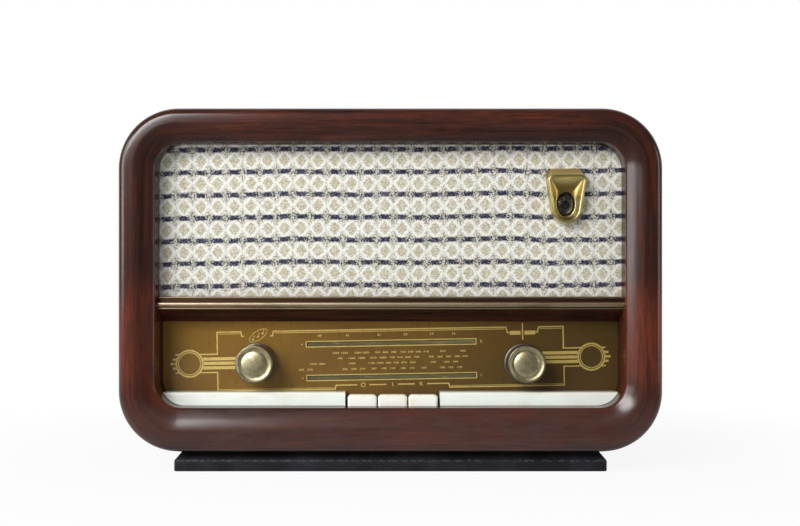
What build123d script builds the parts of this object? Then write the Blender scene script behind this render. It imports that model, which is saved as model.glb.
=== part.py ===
from build123d import *
import os
from math import asin, atan2, cos, hypot, pi, radians, sin, tan

# A table radio with valves, from the 1950s: a moulded wooden front frame on a bent plywood
# cabinet, a cloth-covered speaker board above, a printed dial glass with two knobs and three
# push keys below, and the whole receiver on a steel chassis inside.
# X runs to the right as the listener sees it, Y runs to the back, Z runs up, and the origin is
# at the middle of the underside. Lengths are in millimetres, angles in degrees.

os.makedirs("parts", exist_ok=True)

# Cabinet
cabinet_width = 540
cabinet_height = 341
cabinet_depth = 240
cabinet_corner_radius = 60
shell_thickness = 12
plinth_height = 21

# Front frame
frame_depth = 30
side_rail = 35.5
top_rail = 33
bottom_rail = 43
opening_corner_radius = 26
frame_outer_rounding = 8
lip_setback = 10
lip_slope_width = 20
crest_rounding = 20

# Plinth board
plinth_side_setback = 53
plinth_front_setback = 15
plinth_back_setback = 25
plinth_edge_height = 10.7
plinth_bevel = 8

# Speaker board, cloth and divider
fit_gap = 0.3
board_gap = 1
overcut = 1
eye_hole_gap = 2
cloth_thickness = 1
baffle_thickness = 8
dial_depth = 36
dial_window_height = 85.5
divider_bevel_height = 12.5
divider_face_height = 13
divider_face_proud = 9
divider_seat = 5
trim_backing = 1.5
trim_bead_radius = 2.8
trim_bead_drop = 1.4
trim_edge_bead_radius = 1.1

# Dial glass, clips and white filler strips
glass_thickness = 3
glass_overlap = 8
glass_bottom_drop = 6.5
glass_shaft_hole_radius = 6
strip_height = 14
strip_rounding = 2.5
clip_width = 12
clip_foot = 8
clip_reach = 5
clip_gap = 1
clip_sheet = 1

# Push keys
key_count = 3
key_width = 29.7
key_gap = 1.3
key_side_gap = 2.4
key_row_offset = 2.2
key_height = 18.5
key_top_below_strip = 2.5
key_thickness = 9
key_front_gap = 0.8
key_corner_radius = 4
key_edge_rounding = 2.5
key_pivot_behind_face = 59
key_pivot_above_lip = 1
key_rod_radius = 1.5
key_lever_thickness = 2
key_lever_height = 8
key_lever_bite = 4
key_bracket_sheet = 2
key_bracket_ear_width = 14
leaf_sheet = 0.5
leaf_width = 6
leaf_reach = 20
leaf_bar_gap = 1
leaf_bar_inset = 2

# Knobs and their shafts
knob_spacing = 274
knob_height_above_lip = 43
knob_skirt_radius = 20.2
knob_skirt_thickness = 3
knob_radius = 19.2
knob_length = 26
knob_glass_gap = 3
knob_cap_depth = 8
knob_dish_radius = 17
knob_dome_radius = 13
knob_dish_depth = 1.6
knob_dome_rise = 0.8
knob_edge_rounding = 1.2
shaft_radius = 3
running_gap = 0.05
press_gap = 0.02
bushing_radius = 5
bushing_flange_radius = 9
bushing_flange_thickness = 3
pot_radius = 14
pot_length = 14
pot_wall = 2
neck_length = 5
shaft_end_gap = 1
collar_radius = 4.5
collar_thickness = 1.5

# Dial drive
drum_radius = 52
drum_thickness = 4
groove_depth = 1.2
cord_radius = 0.4
cord_gap = 0.35
cord_turn_pitch = 1.1
pulley_radius = 8
pulley_thickness = 4
pulley_pin_radius = 1.5
left_pulley_inset = 15
right_pulley_inset = 45
cord_behind_plate = 4
pointer_run_height = 85
pointer_start_inset = 40.3
pointer_rest_inset = 64.5
drum_offset_x = 26
drum_offset_z = 51
pointer_width = 1.4
pointer_thickness = 0.8
pointer_length = 56
carriage_width = 14
carriage_wall = 1.5
rail_radius = 1.5
rail_above_run = 5
lug_thickness = 2
ear_half_width = 7
hook_sheet = 1
pin_head = 0.8
lamp_inset = 37
lamp_rise = 52
lamp_clip = 7
lamp_base_radius = 3
lamp_length = 9
backplate_gap = 9
backplate_rise = 15
backplate_side_gap = 60
backplate_height = 64
backplate_thickness = 1
backplate_hole_radius = 9

# Chassis
chassis_side_gap = 53
chassis_plate_gap = 11
chassis_cover_gap = 13
chassis_height = 70
chassis_sheet = 1.5
chassis_flange = 14
chassis_screw_inset = 18
batten_height = 20
batten_width = 20
screw_radius = 2
screw_head_radius = 4
screw_head_height = 2.4
screw_length = 16
screw_gap = 0.15

# Tuning capacitor
vane_count = 7
vane_thickness = 0.8
vane_pitch = 3.2
rotor_radius = 24
stator_outer_radius = 28
stator_inner_radius = 6
capacitor_frame_width = 56
capacitor_frame_height = 62
capacitor_sheet = 1.5
capacitor_setback = 5
vane_margin = 4
vane_lead = 3
rotor_shaft_end = 1
rotor_hub_radius = 4.5
stator_rod_radius = 1.2
stator_rod_turn = 38

# Loudspeaker
speaker_side_gap = 139.5
speaker_floor_gap = 3
speaker_ceiling_gap = 20
speaker_flange_width = 12
speaker_depth = 44
speaker_flange_thickness = 2
magnet_radius = 34
magnet_length = 26
cone_thickness = 0.8
cone_rim_gap = 2
cone_rim_height = 1
voice_coil_radius = 14
rim_inset = 2
basket_sheet = 1.5
basket_seat = 14
window_width = 34
window_reach = 26
window_depth = 20
cone_clearance = 2
coil_reach = 5
dust_cap_rise = 3
cap_rim = 1
magnet_gap = 0.6
magnet_gap_depth = 9

# Tuning eye: bezel, tube and socket
eye_side_gap = 57
eye_drop = 55
bezel_width = 37
bezel_height = 46
bezel_bottom_radius = 12.5
bezel_corner_radius = 4
bezel_flare = 1.5
bezel_top_flare = 8
bezel_proud = 12
bezel_rim = 2.4
bezel_hole_width = 19
bezel_hole_height = 24
bezel_hole_drop = 5.5
bezel_funnel_depth = 9
bezel_throat = 7
eye_tube_radius = 11
eye_tube_length = 62
eye_tube_gap = 0.6
eye_dome = 4
eye_clip_flange = 6
eye_clip_length = 14

# Back cover
cover_recess = 4
cover_thickness = 3
vent_width = 5
vent_length = 30
vent_columns = 30
vent_rows = 3
vent_pitch_x = 14
vent_pitch_z = 40
vent_rise = 45
block_length = 26
block_width = 14
block_depth = 12
block_corner_gap = 20.5
screw_tip_gap = 1
socket_bore_radius = 2
socket_wall = 1.5
socket_length = 12
socket_spacing = 19
socket_count = 2
socket_hole_gap = 0.5
strip_x = -60
strip_half = 9
strip_thickness = 2
strip_drop = 22
grommet_bore_radius = 3.5
grommet_radius = 8
grommet_neck_radius = 5.5
grommet_flange = 2
grommet_x = 150
grommet_rise = 20

# Valves, cans and transformers. Each place is X, and the distance behind the front edge of the
# chassis, or before its back edge where it is below nought.
valve_places = [(-30, 70), (30, -38), (85, -60), (-75, -28)]
valve_radius = 11
valve_height = 58
socket_body_radius = 9
socket_flange_radius = 13
socket_flange = 2
socket_drop = 10
coil_can_places = [(20, 55), (75, 45), (120, -40)]
can_width = 26
can_height = 62
can_rounding = 3
filter_place = (-75, 70)
filter_radius = 15
filter_height = 68
filter_rounding = 2
mains_end_gap = 55
mains_back_gap = 50
mains_width = 70
mains_depth = 62
mains_height = 58
output_place = (-15, -24)
output_width = 42
output_depth = 30
output_height = 36
coil_share = 0.62

# Planes and levels that follow from the sizes above
front = -cabinet_depth / 2
back = cabinet_depth / 2
cabinet_bottom = plinth_height
cabinet_top = plinth_height + cabinet_height
cabinet_mid = (cabinet_bottom + cabinet_top) / 2
lip_y = front + lip_setback
frame_back = front + frame_depth
opening_half_width = cabinet_width / 2 - side_rail
opening_bottom = cabinet_bottom + bottom_rail
opening_top = cabinet_top - top_rail
opening_mid = (opening_bottom + opening_top) / 2
shell_floor = cabinet_bottom + shell_thickness
shell_ceiling = cabinet_top - shell_thickness
inner_half_width = cabinet_width / 2 - shell_thickness
inner_corner_radius = cabinet_corner_radius - shell_thickness
cloth_back = frame_back + cloth_thickness
baffle_back = cloth_back + baffle_thickness
glass_front = lip_y + dial_depth
glass_back = glass_front + glass_thickness
divider_sight = opening_bottom + dial_window_height
divider_bottom = divider_sight + divider_bevel_height
divider_top = divider_bottom + divider_face_height
board_bottom = divider_bottom + divider_seat
board_room = shell_ceiling - board_bottom
knob_z = opening_bottom + knob_height_above_lip
volume_x = -knob_spacing / 2
tuning_x = knob_spacing / 2
chassis_bottom = shell_floor + batten_height
chassis_top = chassis_bottom + chassis_height
key_row_width = key_count * key_width + (key_count - 1) * key_gap
key_bay_left = key_row_offset - key_row_width / 2 - key_side_gap
key_bay_right = key_row_offset + key_row_width / 2 + key_side_gap
backplate_front = glass_back + backplate_gap
backplate_back = backplate_front + backplate_thickness
backplate_bottom = opening_bottom + backplate_rise
cord_y = backplate_back + cord_behind_plate
left_pulley_x = volume_x + left_pulley_inset
right_pulley_x = tuning_x - right_pulley_inset
pointer_rest_x = left_pulley_x + pointer_rest_inset
lamp_x = tuning_x - lamp_inset
lamp_z = backplate_bottom + lamp_rise
drum_x = tuning_x + drum_offset_x
drum_z = knob_z + drum_offset_z
run_z = opening_bottom + pointer_run_height
speaker_radius = (board_room - speaker_floor_gap - speaker_ceiling_gap) / 2
speaker_hole_radius = speaker_radius - speaker_flange_width
speaker_x = speaker_side_gap - opening_half_width
speaker_z = board_bottom + speaker_floor_gap + speaker_radius
eye_x = opening_half_width - eye_side_gap
eye_z = opening_top - eye_drop
cover_front = back - cover_recess - cover_thickness
chassis_half_width = inner_half_width - chassis_side_gap
chassis_front = backplate_back + chassis_plate_gap
chassis_back = cover_front - chassis_cover_gap
mains_place = (mains_end_gap - chassis_half_width, -mains_back_gap)
vent_middle_z = cabinet_mid + vent_rise
strip_z = chassis_top - strip_drop
grommet_z = chassis_top + grommet_rise


def slab(sketch, y_front, y_back):
    """A flat piece: an outline drawn in X and Z, from one depth to another."""
    return extrude(Plane.XZ.offset(-y_front) * sketch, -(y_back - y_front))


def bar(sketch, x_left, x_right):
    """A straight moulding: a section drawn in Y and Z, from one X to another."""
    return extrude(Plane.YZ.offset(x_left) * sketch, x_right - x_left)


def block(x0, x1, y0, y1, z0, z1):
    """A plain block between two corners."""
    return Pos((x0 + x1) / 2, (y0 + y1) / 2, (z0 + z1) / 2) * Box(x1 - x0, y1 - y0, z1 - z0)


def area(x0, x1, z0, z1):
    """A plain rectangle in X and Z."""
    return Pos((x0 + x1) / 2, (z0 + z1) / 2) * Rectangle(x1 - x0, z1 - z0)


def rounded_area(width, height, radius, middle_z):
    """A rectangle with round corners, centred on X."""
    return Pos(0, middle_z) * RectangleRounded(width, height, radius)


def turned_y(points, x=0, z=0):
    """A turned piece on an axis along Y: points are radius and depth."""
    profile = make_face(Polyline(*points, close=True))
    return Pos(x, 0, z) * revolve(profile, Axis.Y)


def turned_z(points, x=0, y=0):
    """A turned piece on an upright axis: points are radius and height."""
    profile = Plane.XZ * make_face(Polyline(*points, close=True))
    return Pos(x, y, 0) * revolve(profile, Axis.Z)


def rod_y(radius, x, z, y0, y1):
    """A round rod along Y."""
    return Pos(x, (y0 + y1) / 2, z) * Rot(90, 0, 0) * Cylinder(radius, y1 - y0)


def rod_x(radius, y, z, x0, x1):
    """A round rod along X."""
    return Pos((x0 + x1) / 2, y, z) * Rot(0, 90, 0) * Cylinder(radius, x1 - x0)


def rod_z(radius, x, y, z0, z1):
    """A round rod standing up."""
    return Pos(x, y, (z0 + z1) / 2) * Cylinder(radius, z1 - z0)


def dome_arc(radius, rim_y, crown_y):
    """The arc of a shallow dome, from its rim to the axis, in radius and depth."""
    height = rim_y - crown_y
    ball = (radius**2 + height**2) / (2 * height)
    half = asin(min(1, radius / ball)) / 2
    middle = (ball * sin(half), crown_y + ball * (1 - cos(half)))
    return ThreePointArc((radius, rim_y), middle, (0, crown_y))


def save(name, shape):
    """Writes one piece of the radio under its name."""
    shape.label = name
    export_step(shape, f"parts/{name}.step")


def opening_area(inset=0):
    """The outline of the front opening, drawn in by a clearance."""
    return rounded_area(
        2 * (opening_half_width - inset),
        opening_top - opening_bottom - 2 * inset,
        opening_corner_radius - inset,
        opening_mid,
    )


def board_area(inset=board_gap):
    """The outline of a board that fits inside the shell."""
    return rounded_area(
        2 * (inner_half_width - inset),
        shell_ceiling - shell_floor - 2 * inset,
        inner_corner_radius - inset,
        cabinet_mid,
    )


# Cabinet: shell, front frame and plinth
def cabinet_shell():
    """The bent plywood wrap: sides, top and floor in one round-cornered tube."""
    outside = rounded_area(cabinet_width, cabinet_height, cabinet_corner_radius, cabinet_mid)
    return slab(outside - board_area(0), frame_back, back)


def front_frame():
    """The moulded frame: round outer edge, soft crest and a slope down to a crisp inner lip."""
    outside = rounded_area(cabinet_width, cabinet_height, cabinet_corner_radius, cabinet_mid)
    frame = slab(outside - opening_area(), front, frame_back)
    dish = loft(
        [
            Plane.XZ.offset(-lip_y) * opening_area(),
            Plane.XZ.offset(-front) * opening_area(-lip_slope_width),
        ],
        ruled=True,
    )
    frame -= dish
    face = frame.faces().sort_by(Axis.Y)[0]
    frame = fillet(face.outer_wire().edges(), frame_outer_rounding)
    face = frame.faces().sort_by(Axis.Y)[0]
    room = min(top_rail, side_rail, bottom_rail) - lip_slope_width - frame_outer_rounding
    half_turn = atan2(lip_setback, lip_slope_width) / 2
    widest = 0.95 * room / tan(half_turn)
    return fillet(face.inner_wires()[0].edges(), min(crest_rounding, widest))


def plinth():
    """The black base board, bevelled all round above an upright edge."""
    width = cabinet_width - 2 * plinth_side_setback
    length = cabinet_depth - plinth_front_setback - plinth_back_setback
    middle_y = front + plinth_front_setback + length / 2
    foot = Pos(0, middle_y) * Rectangle(width, length)
    top = Pos(0, middle_y, plinth_height) * Rectangle(
        width - 2 * plinth_bevel, length - 2 * plinth_bevel
    )
    board = extrude(foot, plinth_edge_height)
    return board + loft([Pos(0, 0, plinth_edge_height) * foot, top], ruled=True)


# Speaker board, cloth, divider and trim
def eye_outline(grow_side=0, grow_top=0, grow_bottom=0):
    """The tuning eye's outline: a flat top with small corners, sides that close to a round foot."""
    half = bezel_height / 2
    corner = bezel_corner_radius
    corner_x = bezel_width / 2 - corner + grow_side
    corner_z = half - corner + grow_top
    foot_radius = bezel_bottom_radius + grow_bottom
    foot_z = bezel_bottom_radius - half
    edges = [
        CenterArc((corner_x, corner_z), corner, 0, 360),
        CenterArc((-corner_x, corner_z), corner, 0, 360),
        CenterArc((0, foot_z), foot_radius, 0, 360),
    ]
    return Pos(eye_x, eye_z) * make_hull(edges)


def eye_hole(grow=0):
    """The oval hole through which the eye shows."""
    width = bezel_hole_width + 2 * grow
    height = bezel_hole_height + 2 * grow
    return Pos(eye_x, eye_z - bezel_hole_drop) * SlotOverall(height, width, rotation=90)


def baffle_board():
    """The plywood speaker board, with the speaker hole and the hole for the tuning eye."""
    outline = board_area() & area(-cabinet_width, cabinet_width, board_bottom, cabinet_top)
    outline -= Pos(speaker_x, speaker_z) * Circle(speaker_hole_radius)
    outline -= eye_hole(eye_hole_gap)
    board = slab(outline, cloth_back, baffle_back)
    for x, z in speaker_screw_places():
        board -= rod_y(screw_radius, x, z, baffle_back - screw_length / 2, baffle_back + overcut)
    return board


def grille_cloth():
    """The woven cloth, stretched over the front of the speaker board."""
    outline = board_area() & area(-cabinet_width, cabinet_width, board_bottom, cabinet_top)
    return slab(outline - eye_hole(eye_hole_gap), frame_back, cloth_back)


def divider_rail():
    """The wooden rail between cloth and dial; its underside slopes back to the glass."""
    face_y = frame_back - divider_face_proud
    section = make_face(
        Polyline(
            (face_y, divider_bottom),
            (face_y, divider_top),
            (frame_back, divider_top),
            (frame_back, board_bottom),
            (glass_front, board_bottom),
            (glass_front, divider_sight),
            close=True,
        )
    )
    half = opening_half_width - fit_gap
    return bar(section, -half, half)


def brass_trim():
    """The brass moulding on the divider: a flat strip with one large bead and two thin ones."""
    face_y = frame_back - divider_face_proud
    strip_front = face_y - trim_backing
    bead_z = (divider_bottom + divider_top) / 2 - trim_bead_drop
    strip = Pos((face_y + strip_front) / 2, (divider_bottom + divider_top) / 2) * Rectangle(
        trim_backing, divider_face_height
    )
    section = strip + Pos(strip_front, bead_z) * Circle(trim_bead_radius)
    for edge_z in (divider_bottom + trim_edge_bead_radius, divider_top - trim_edge_bead_radius):
        section += Pos(strip_front, edge_z) * Circle(trim_edge_bead_radius)
    section &= Pos(face_y - divider_face_height / 2, bead_z) * Rectangle(
        divider_face_height, 2 * divider_face_height
    )
    half = opening_half_width - fit_gap
    return bar(section, -half, half)


# Dial recess: cheeks, filler strips, glass and clips
def cheek(x_inner, x_outer):
    """One L-shaped wooden lining of the dial recess, beside and under the dial."""
    x0, x1 = sorted((x_inner, x_outer))
    outline = board_area() & area(x0, x1, 0, board_bottom)
    return slab(outline - opening_area(), frame_back, glass_front)


def filler_strip(x_inner, x_outer):
    """One white strip beside the keys, cut to the round corner of the recess."""
    x0, x1 = sorted((x_inner, x_outer))
    strip = slab(
        opening_area(fit_gap) & area(x0, x1, 0, opening_bottom + strip_height),
        frame_back + fit_gap,
        glass_front - fit_gap,
    )
    top = strip.edges().filter_by(Axis.X).sort_by(Axis.Z)[-2:]
    return fillet(top.sort_by(Axis.Y)[0], strip_rounding)


def dial_glass():
    """The printed dial glass, with a hole for each shaft."""
    half = opening_half_width + glass_overlap
    outline = area(-half, half, opening_bottom + glass_bottom_drop, divider_sight + glass_overlap)
    for x in (volume_x, tuning_x):
        outline -= Pos(x, knob_z) * Circle(glass_shaft_hole_radius)
    return slab(outline, glass_front, glass_back)


def glass_clips():
    """Four bent spring clips that hold the glass against the cheeks."""
    clips = []
    edge = opening_half_width + glass_overlap
    riser_x = edge + clip_gap
    for side in (-1, 1):
        for z in (opening_bottom + dial_window_height / 3, divider_sight - clip_width / 2):
            z0 = z - clip_width / 2
            z1 = z + clip_width / 2
            tab_y = glass_back + clip_sheet
            foot = block(riser_x, riser_x + clip_foot, glass_front, glass_front + clip_sheet, z0, z1)
            riser = block(riser_x, riser_x + clip_sheet, glass_front, tab_y, z0, z1)
            tab = block(edge - clip_reach, riser_x + clip_sheet, glass_back, tab_y, z0, z1)
            clip = foot + riser + tab
            clips.append(clip if side > 0 else mirror(clip, Plane.YZ))
    return Compound(children=clips)


# Push keys
def key_x(number):
    """The middle of a key, counted from the left."""
    return key_row_offset - key_row_width / 2 + key_width / 2 + number * (key_width + key_gap)


key_face_y = frame_back + key_front_gap
key_top = opening_bottom + strip_height - key_top_below_strip
key_pivot_y = key_face_y + key_pivot_behind_face
key_pivot_z = opening_bottom + key_pivot_above_lip


def key_lever_area():
    """The side view of a key's lever: a bar from the key to its pivot."""
    y0 = key_face_y + key_thickness - key_lever_bite
    y1 = key_pivot_y + key_lever_height / 2
    z = key_pivot_z
    body = Pos((y0 + y1) / 2, z) * Rectangle(y1 - y0, key_lever_height)
    return body - Pos(key_pivot_y, z) * Circle(key_rod_radius + running_gap)


def key_lever(number):
    """The steel lever of one key."""
    x = key_x(number)
    return bar(key_lever_area(), x - key_lever_thickness / 2, x + key_lever_thickness / 2)


def key_cap(number):
    """One white key, with round upper corners and a slot behind for its lever."""
    x = key_x(number)
    half = key_width / 2
    cap = block(x - half, x + half, key_face_y, key_face_y + key_thickness,
                key_top - key_height, key_top)
    corners = cap.edges().filter_by(Axis.Y).group_by(Axis.Z)[-1]
    cap = fillet(corners, key_corner_radius)
    brow = cap.edges().filter_by_position(Axis.Y, key_face_y - 0.01, key_face_y + 0.01)
    brow = brow.sort_by(Axis.Z)[1:]
    cap = fillet(brow, key_edge_rounding)
    slot_half = key_lever_thickness / 2 + press_gap
    lever_half = key_lever_height / 2 + press_gap
    slot_y = key_face_y + key_thickness - key_lever_bite - press_gap
    return cap - block(x - slot_half, x + slot_half, slot_y, key_face_y + key_thickness + overcut,
                       key_pivot_z - lever_half, key_pivot_z + lever_half)


def key_rod():
    """The rod that the three levers turn on."""
    return rod_x(key_rod_radius, key_pivot_y, key_pivot_z,
                 key_bay_left - key_bracket_sheet, key_bay_right + key_bracket_sheet)


def key_bracket():
    """The bracket on the chassis front that carries the rod."""
    ears = []
    for x in (key_bay_left - key_bracket_sheet, key_bay_right):
        ear_front = chassis_front + chassis_sheet
        ear_back = key_pivot_y + key_bracket_ear_width / 2
        ear = Pos((ear_front + ear_back) / 2, key_pivot_z) * Rectangle(
            ear_back - ear_front, key_bracket_ear_width
        )
        ear -= Pos(key_pivot_y, key_pivot_z) * Circle(key_rod_radius + press_gap)
        ears.append(bar(ear, x, x + key_bracket_sheet))
    floor_z = key_pivot_z - key_bracket_ear_width / 2
    floor = block(key_bay_left - key_bracket_sheet, key_bay_right + key_bracket_sheet,
                  key_pivot_y - key_bracket_ear_width / 2, key_pivot_y + key_bracket_ear_width / 2,
                  floor_z - key_bracket_sheet, floor_z)
    return floor + ears[0] + ears[1]


def key_springs():
    """A comb of three leaf springs that lifts the levers, on a bar across the bracket's floor."""
    floor_z = key_pivot_z - key_bracket_ear_width / 2
    y_back = key_pivot_y + key_bracket_ear_width / 2 - leaf_bar_inset
    y_bend = key_pivot_y
    y_tip = key_pivot_y - leaf_reach
    tip_z = key_pivot_z - key_lever_height / 2 - fit_gap - leaf_sheet
    leaf = make_face(
        Polyline(
            (y_back, floor_z),
            (y_back, floor_z + leaf_sheet),
            (y_bend, floor_z + leaf_sheet),
            (y_tip, tip_z + leaf_sheet),
            (y_tip, tip_z),
            (y_bend, floor_z),
            close=True,
        )
    )
    comb = block(key_bay_left + leaf_bar_gap, key_bay_right - leaf_bar_gap, y_bend, y_back,
                 floor_z, floor_z + leaf_sheet)
    for number in range(key_count):
        x = key_x(number)
        comb += bar(leaf, x - leaf_width / 2, x + leaf_width / 2)
    return comb


# Knobs, shafts, volume control and tuning bushing
knob_back = glass_front - knob_glass_gap
knob_front = knob_back - knob_length
cap_seat = knob_front + knob_cap_depth
shaft_front = cap_seat + shaft_end_gap


def knob(x):
    """A turned knob: a thin skirt, a straight body, a dished face and a seat for the cap."""
    cap_radius = knob_dome_radius
    return turned_y(
        [
            (shaft_radius + press_gap, knob_back),
            (knob_skirt_radius, knob_back),
            (knob_skirt_radius, knob_back - knob_skirt_thickness),
            (knob_radius, knob_back - knob_skirt_thickness),
            (knob_radius, knob_front + knob_edge_rounding),
            (knob_radius - knob_edge_rounding, knob_front),
            (knob_dish_radius, knob_front),
            (cap_radius, knob_front + knob_dish_depth),
            (cap_radius, cap_seat),
            (shaft_radius + press_gap, cap_seat),
        ],
        x,
        knob_z,
    )


def knob_cap(x):
    """The domed metal cap in the middle of a knob."""
    radius = knob_dome_radius - press_gap
    rim_y = knob_front + knob_dish_depth
    crown_y = knob_front - knob_dome_rise
    outline = Polyline((0, crown_y), (0, cap_seat), (radius, cap_seat), (radius, rim_y))
    crown = dome_arc(radius, rim_y, crown_y)
    return Pos(x, 0, knob_z) * revolve(make_face([outline, crown]), Axis.Y)


def volume_shaft():
    """The shaft of the volume control."""
    return rod_y(shaft_radius, volume_x, knob_z, shaft_front, pot_end - pot_wall - running_gap)


def tuning_shaft():
    """The tuning shaft, with a collar on each side of its bushing."""
    y_end = chassis_front + chassis_sheet + bushing_flange_thickness
    collars_at = (
        chassis_front - bushing_flange_thickness - running_gap - collar_thickness,
        y_end + running_gap,
    )
    shaft = rod_y(shaft_radius, tuning_x, knob_z, shaft_front, y_end + 2 * collar_thickness)
    for y in collars_at:
        shaft += rod_y(collar_radius, tuning_x, knob_z, y, y + collar_thickness)
    return shaft


pot_end = chassis_front + chassis_sheet + pot_length


def volume_control():
    """The volume control: a round can behind the chassis front, a nut and a threaded neck."""
    inner = shaft_radius + running_gap
    nut_y = chassis_front - bushing_flange_thickness
    return turned_y(
        [
            (0, pot_end),
            (0, pot_end - pot_wall),
            (inner, pot_end - pot_wall),
            (inner, nut_y - neck_length),
            (bushing_radius, nut_y - neck_length),
            (bushing_radius, nut_y),
            (bushing_flange_radius, nut_y),
            (bushing_flange_radius, chassis_front),
            (bushing_radius, chassis_front),
            (bushing_radius, chassis_front + chassis_sheet),
            (pot_radius, chassis_front + chassis_sheet),
            (pot_radius, pot_end),
        ],
        volume_x,
        knob_z,
    )


def tuning_bushing():
    """The brass bushing that the tuning shaft turns in, clamped through the chassis front."""
    inner = shaft_radius + running_gap
    wall_back = chassis_front + chassis_sheet
    return turned_y(
        [
            (inner, chassis_front - bushing_flange_thickness),
            (bushing_flange_radius, chassis_front - bushing_flange_thickness),
            (bushing_flange_radius, chassis_front),
            (bushing_radius, chassis_front),
            (bushing_radius, wall_back),
            (bushing_flange_radius, wall_back),
            (bushing_flange_radius, wall_back + bushing_flange_thickness),
            (inner, wall_back + bushing_flange_thickness),
        ],
        tuning_x,
        knob_z,
    )


# Dial drive: drum, pulleys, cord, rail and pointer
def grooved_wheel(radius, thickness, bore, x, z):
    """A disc with a flat-bottomed groove round its edge."""
    y0 = cord_y - thickness / 2
    y1 = cord_y + thickness / 2
    lip = thickness / 5
    bottom = radius - groove_depth
    return turned_y(
        [
            (bore, y0),
            (radius, y0),
            (radius, y0 + lip),
            (bottom, cord_y - lip),
            (bottom, cord_y + lip),
            (radius, y1 - lip),
            (radius, y1),
            (bore, y1),
        ],
        x,
        z,
    )


def drive_drum():
    """The large drum on the capacitor's shaft."""
    return grooved_wheel(drum_radius, drum_thickness, shaft_radius + press_gap, drum_x, drum_z)


cord_on_drum = drum_radius - groove_depth + cord_gap + cord_radius
cord_on_pulley = pulley_radius - groove_depth + cord_gap + cord_radius
cord_on_shaft = shaft_radius + cord_gap + cord_radius
left_pulley_z = run_z - cord_on_pulley
right_pulley_z = run_z + cord_on_pulley


def pulley(x, z):
    """One small guide pulley."""
    return grooved_wheel(pulley_radius, pulley_thickness, pulley_pin_radius + running_gap, x, z)


def drive_cord():
    """The dial cord: tangent runs and arcs round four wheels, and two more turns on the shaft."""
    # Each wheel is its centre, the radius to the middle of the cord and the way it turns.
    wheels = [
        (left_pulley_x, left_pulley_z, cord_on_pulley, -1),
        (right_pulley_x, right_pulley_z, cord_on_pulley, 1),
        (drum_x, drum_z, cord_on_drum, -1),
        (tuning_x, knob_z, cord_on_shaft, -1),
    ]
    runs = []
    for place, (x0, z0, radius0, way0) in enumerate(wheels):
        x1, z1, radius1, way1 = wheels[(place + 1) % len(wheels)]
        span = hypot(x1 - x0, z1 - z0)
        angle = atan2(z1 - z0, x1 - x0) - asin((way1 * radius1 - way0 * radius0) / span)
        normal = (-sin(angle), cos(angle))
        leave = (x0 - way0 * radius0 * normal[0], z0 - way0 * radius0 * normal[1])
        arrive = (x1 - way1 * radius1 * normal[0], z1 - way1 * radius1 * normal[1])
        runs.append((leave, arrive))
    edges = []
    for place, (leave, arrive) in enumerate(runs):
        edges.append(Line(leave, arrive))
        x, z, radius, way = wheels[(place + 1) % len(wheels)]
        leave_next = runs[(place + 1) % len(runs)][0]
        start = atan2(arrive[1] - z, arrive[0] - x)
        sweep_angle = way * ((way * (atan2(leave_next[1] - z, leave_next[0] - x) - start)) % (2 * pi))
        half = start + sweep_angle / 2
        edges.append(
            ThreePointArc(arrive, (x + radius * cos(half), z + radius * sin(half)), leave_next)
        )
    path = Plane.XZ.offset(-cord_y) * Wire(edges)
    start_plane = Plane(origin=path @ 0, z_dir=path % 0)
    loop = sweep(start_plane * Circle(cord_radius), path)
    turns = [
        Pos(tuning_x, cord_y + side * cord_turn_pitch, knob_z) * Rot(90, 0, 0)
        * Torus(cord_on_shaft, cord_radius)
        for side in (-1, 1)
    ]
    return Compound(children=[loop] + turns)


rail_y = (glass_back + backplate_front) / 2
rail_z = run_z + rail_above_run


def dial_backplate():
    """The pale plate behind the dial, with ears for the pulleys, lugs for the rail and lamp clips."""
    top = backplate_bottom + backplate_height
    half = inner_half_width - backplate_side_gap
    outline = area(-half, half, backplate_bottom, top)
    for x, z in ((left_pulley_x, left_pulley_z), (right_pulley_x, right_pulley_z)):
        ear_top = max(z + ear_half_width, rail_z + ear_half_width / 2)
        outline += area(x - ear_half_width, x + ear_half_width, top - overcut, ear_top)
    for x in (volume_x, tuning_x):
        outline -= Pos(x, knob_z) * Circle(backplate_hole_radius)
    plate = slab(outline, backplate_front, backplate_back)
    pin_end = cord_y + pulley_thickness / 2 + running_gap
    for x, z in ((left_pulley_x, left_pulley_z), (right_pulley_x, right_pulley_z)):
        plate += rod_y(pulley_pin_radius, x, z, backplate_back, pin_end + pin_head)
        plate += rod_y(2 * pulley_pin_radius, x, z, pin_end, pin_end + pin_head)
        spacer_end = cord_y - pulley_thickness / 2 - running_gap
        plate += rod_y(2 * pulley_pin_radius, x, z, backplate_back, spacer_end)
    for x in (left_pulley_x, right_pulley_x):
        lug = block(x - lug_thickness / 2, x + lug_thickness / 2, rail_y - 2 * rail_radius,
                    backplate_front, rail_z - 2 * rail_radius, rail_z + 2 * rail_radius)
        plate += lug - rod_x(rail_radius + press_gap, rail_y, rail_z, x - lug_thickness,
                             x + lug_thickness)
    for side in (-1, 1):
        x = side * lamp_x
        clip = block(x - lamp_clip / 2, x + lamp_clip / 2, rail_y - lamp_base_radius - clip_sheet,
                     backplate_front, lamp_z - lamp_clip / 2, lamp_z + lamp_clip / 2)
        plate += clip - rod_x(lamp_base_radius + press_gap, rail_y, lamp_z, x - lamp_clip,
                              x + lamp_clip)
    return plate


def dial_lamps():
    """Two small lamps between the plate and the glass: a brass base and a round-ended bulb."""
    lamps = []
    for side in (-1, 1):
        base_x = side * (lamp_x + lamp_clip / 2)
        tip_x = side * (lamp_x - lamp_clip / 2 - lamp_length)
        x0, x1 = sorted((base_x, tip_x))
        lamp = rod_x(lamp_base_radius, rail_y, lamp_z, x0, x1)
        lamps.append(lamp + Pos(tip_x, rail_y, lamp_z) * Sphere(lamp_base_radius))
    return Compound(children=lamps)


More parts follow.
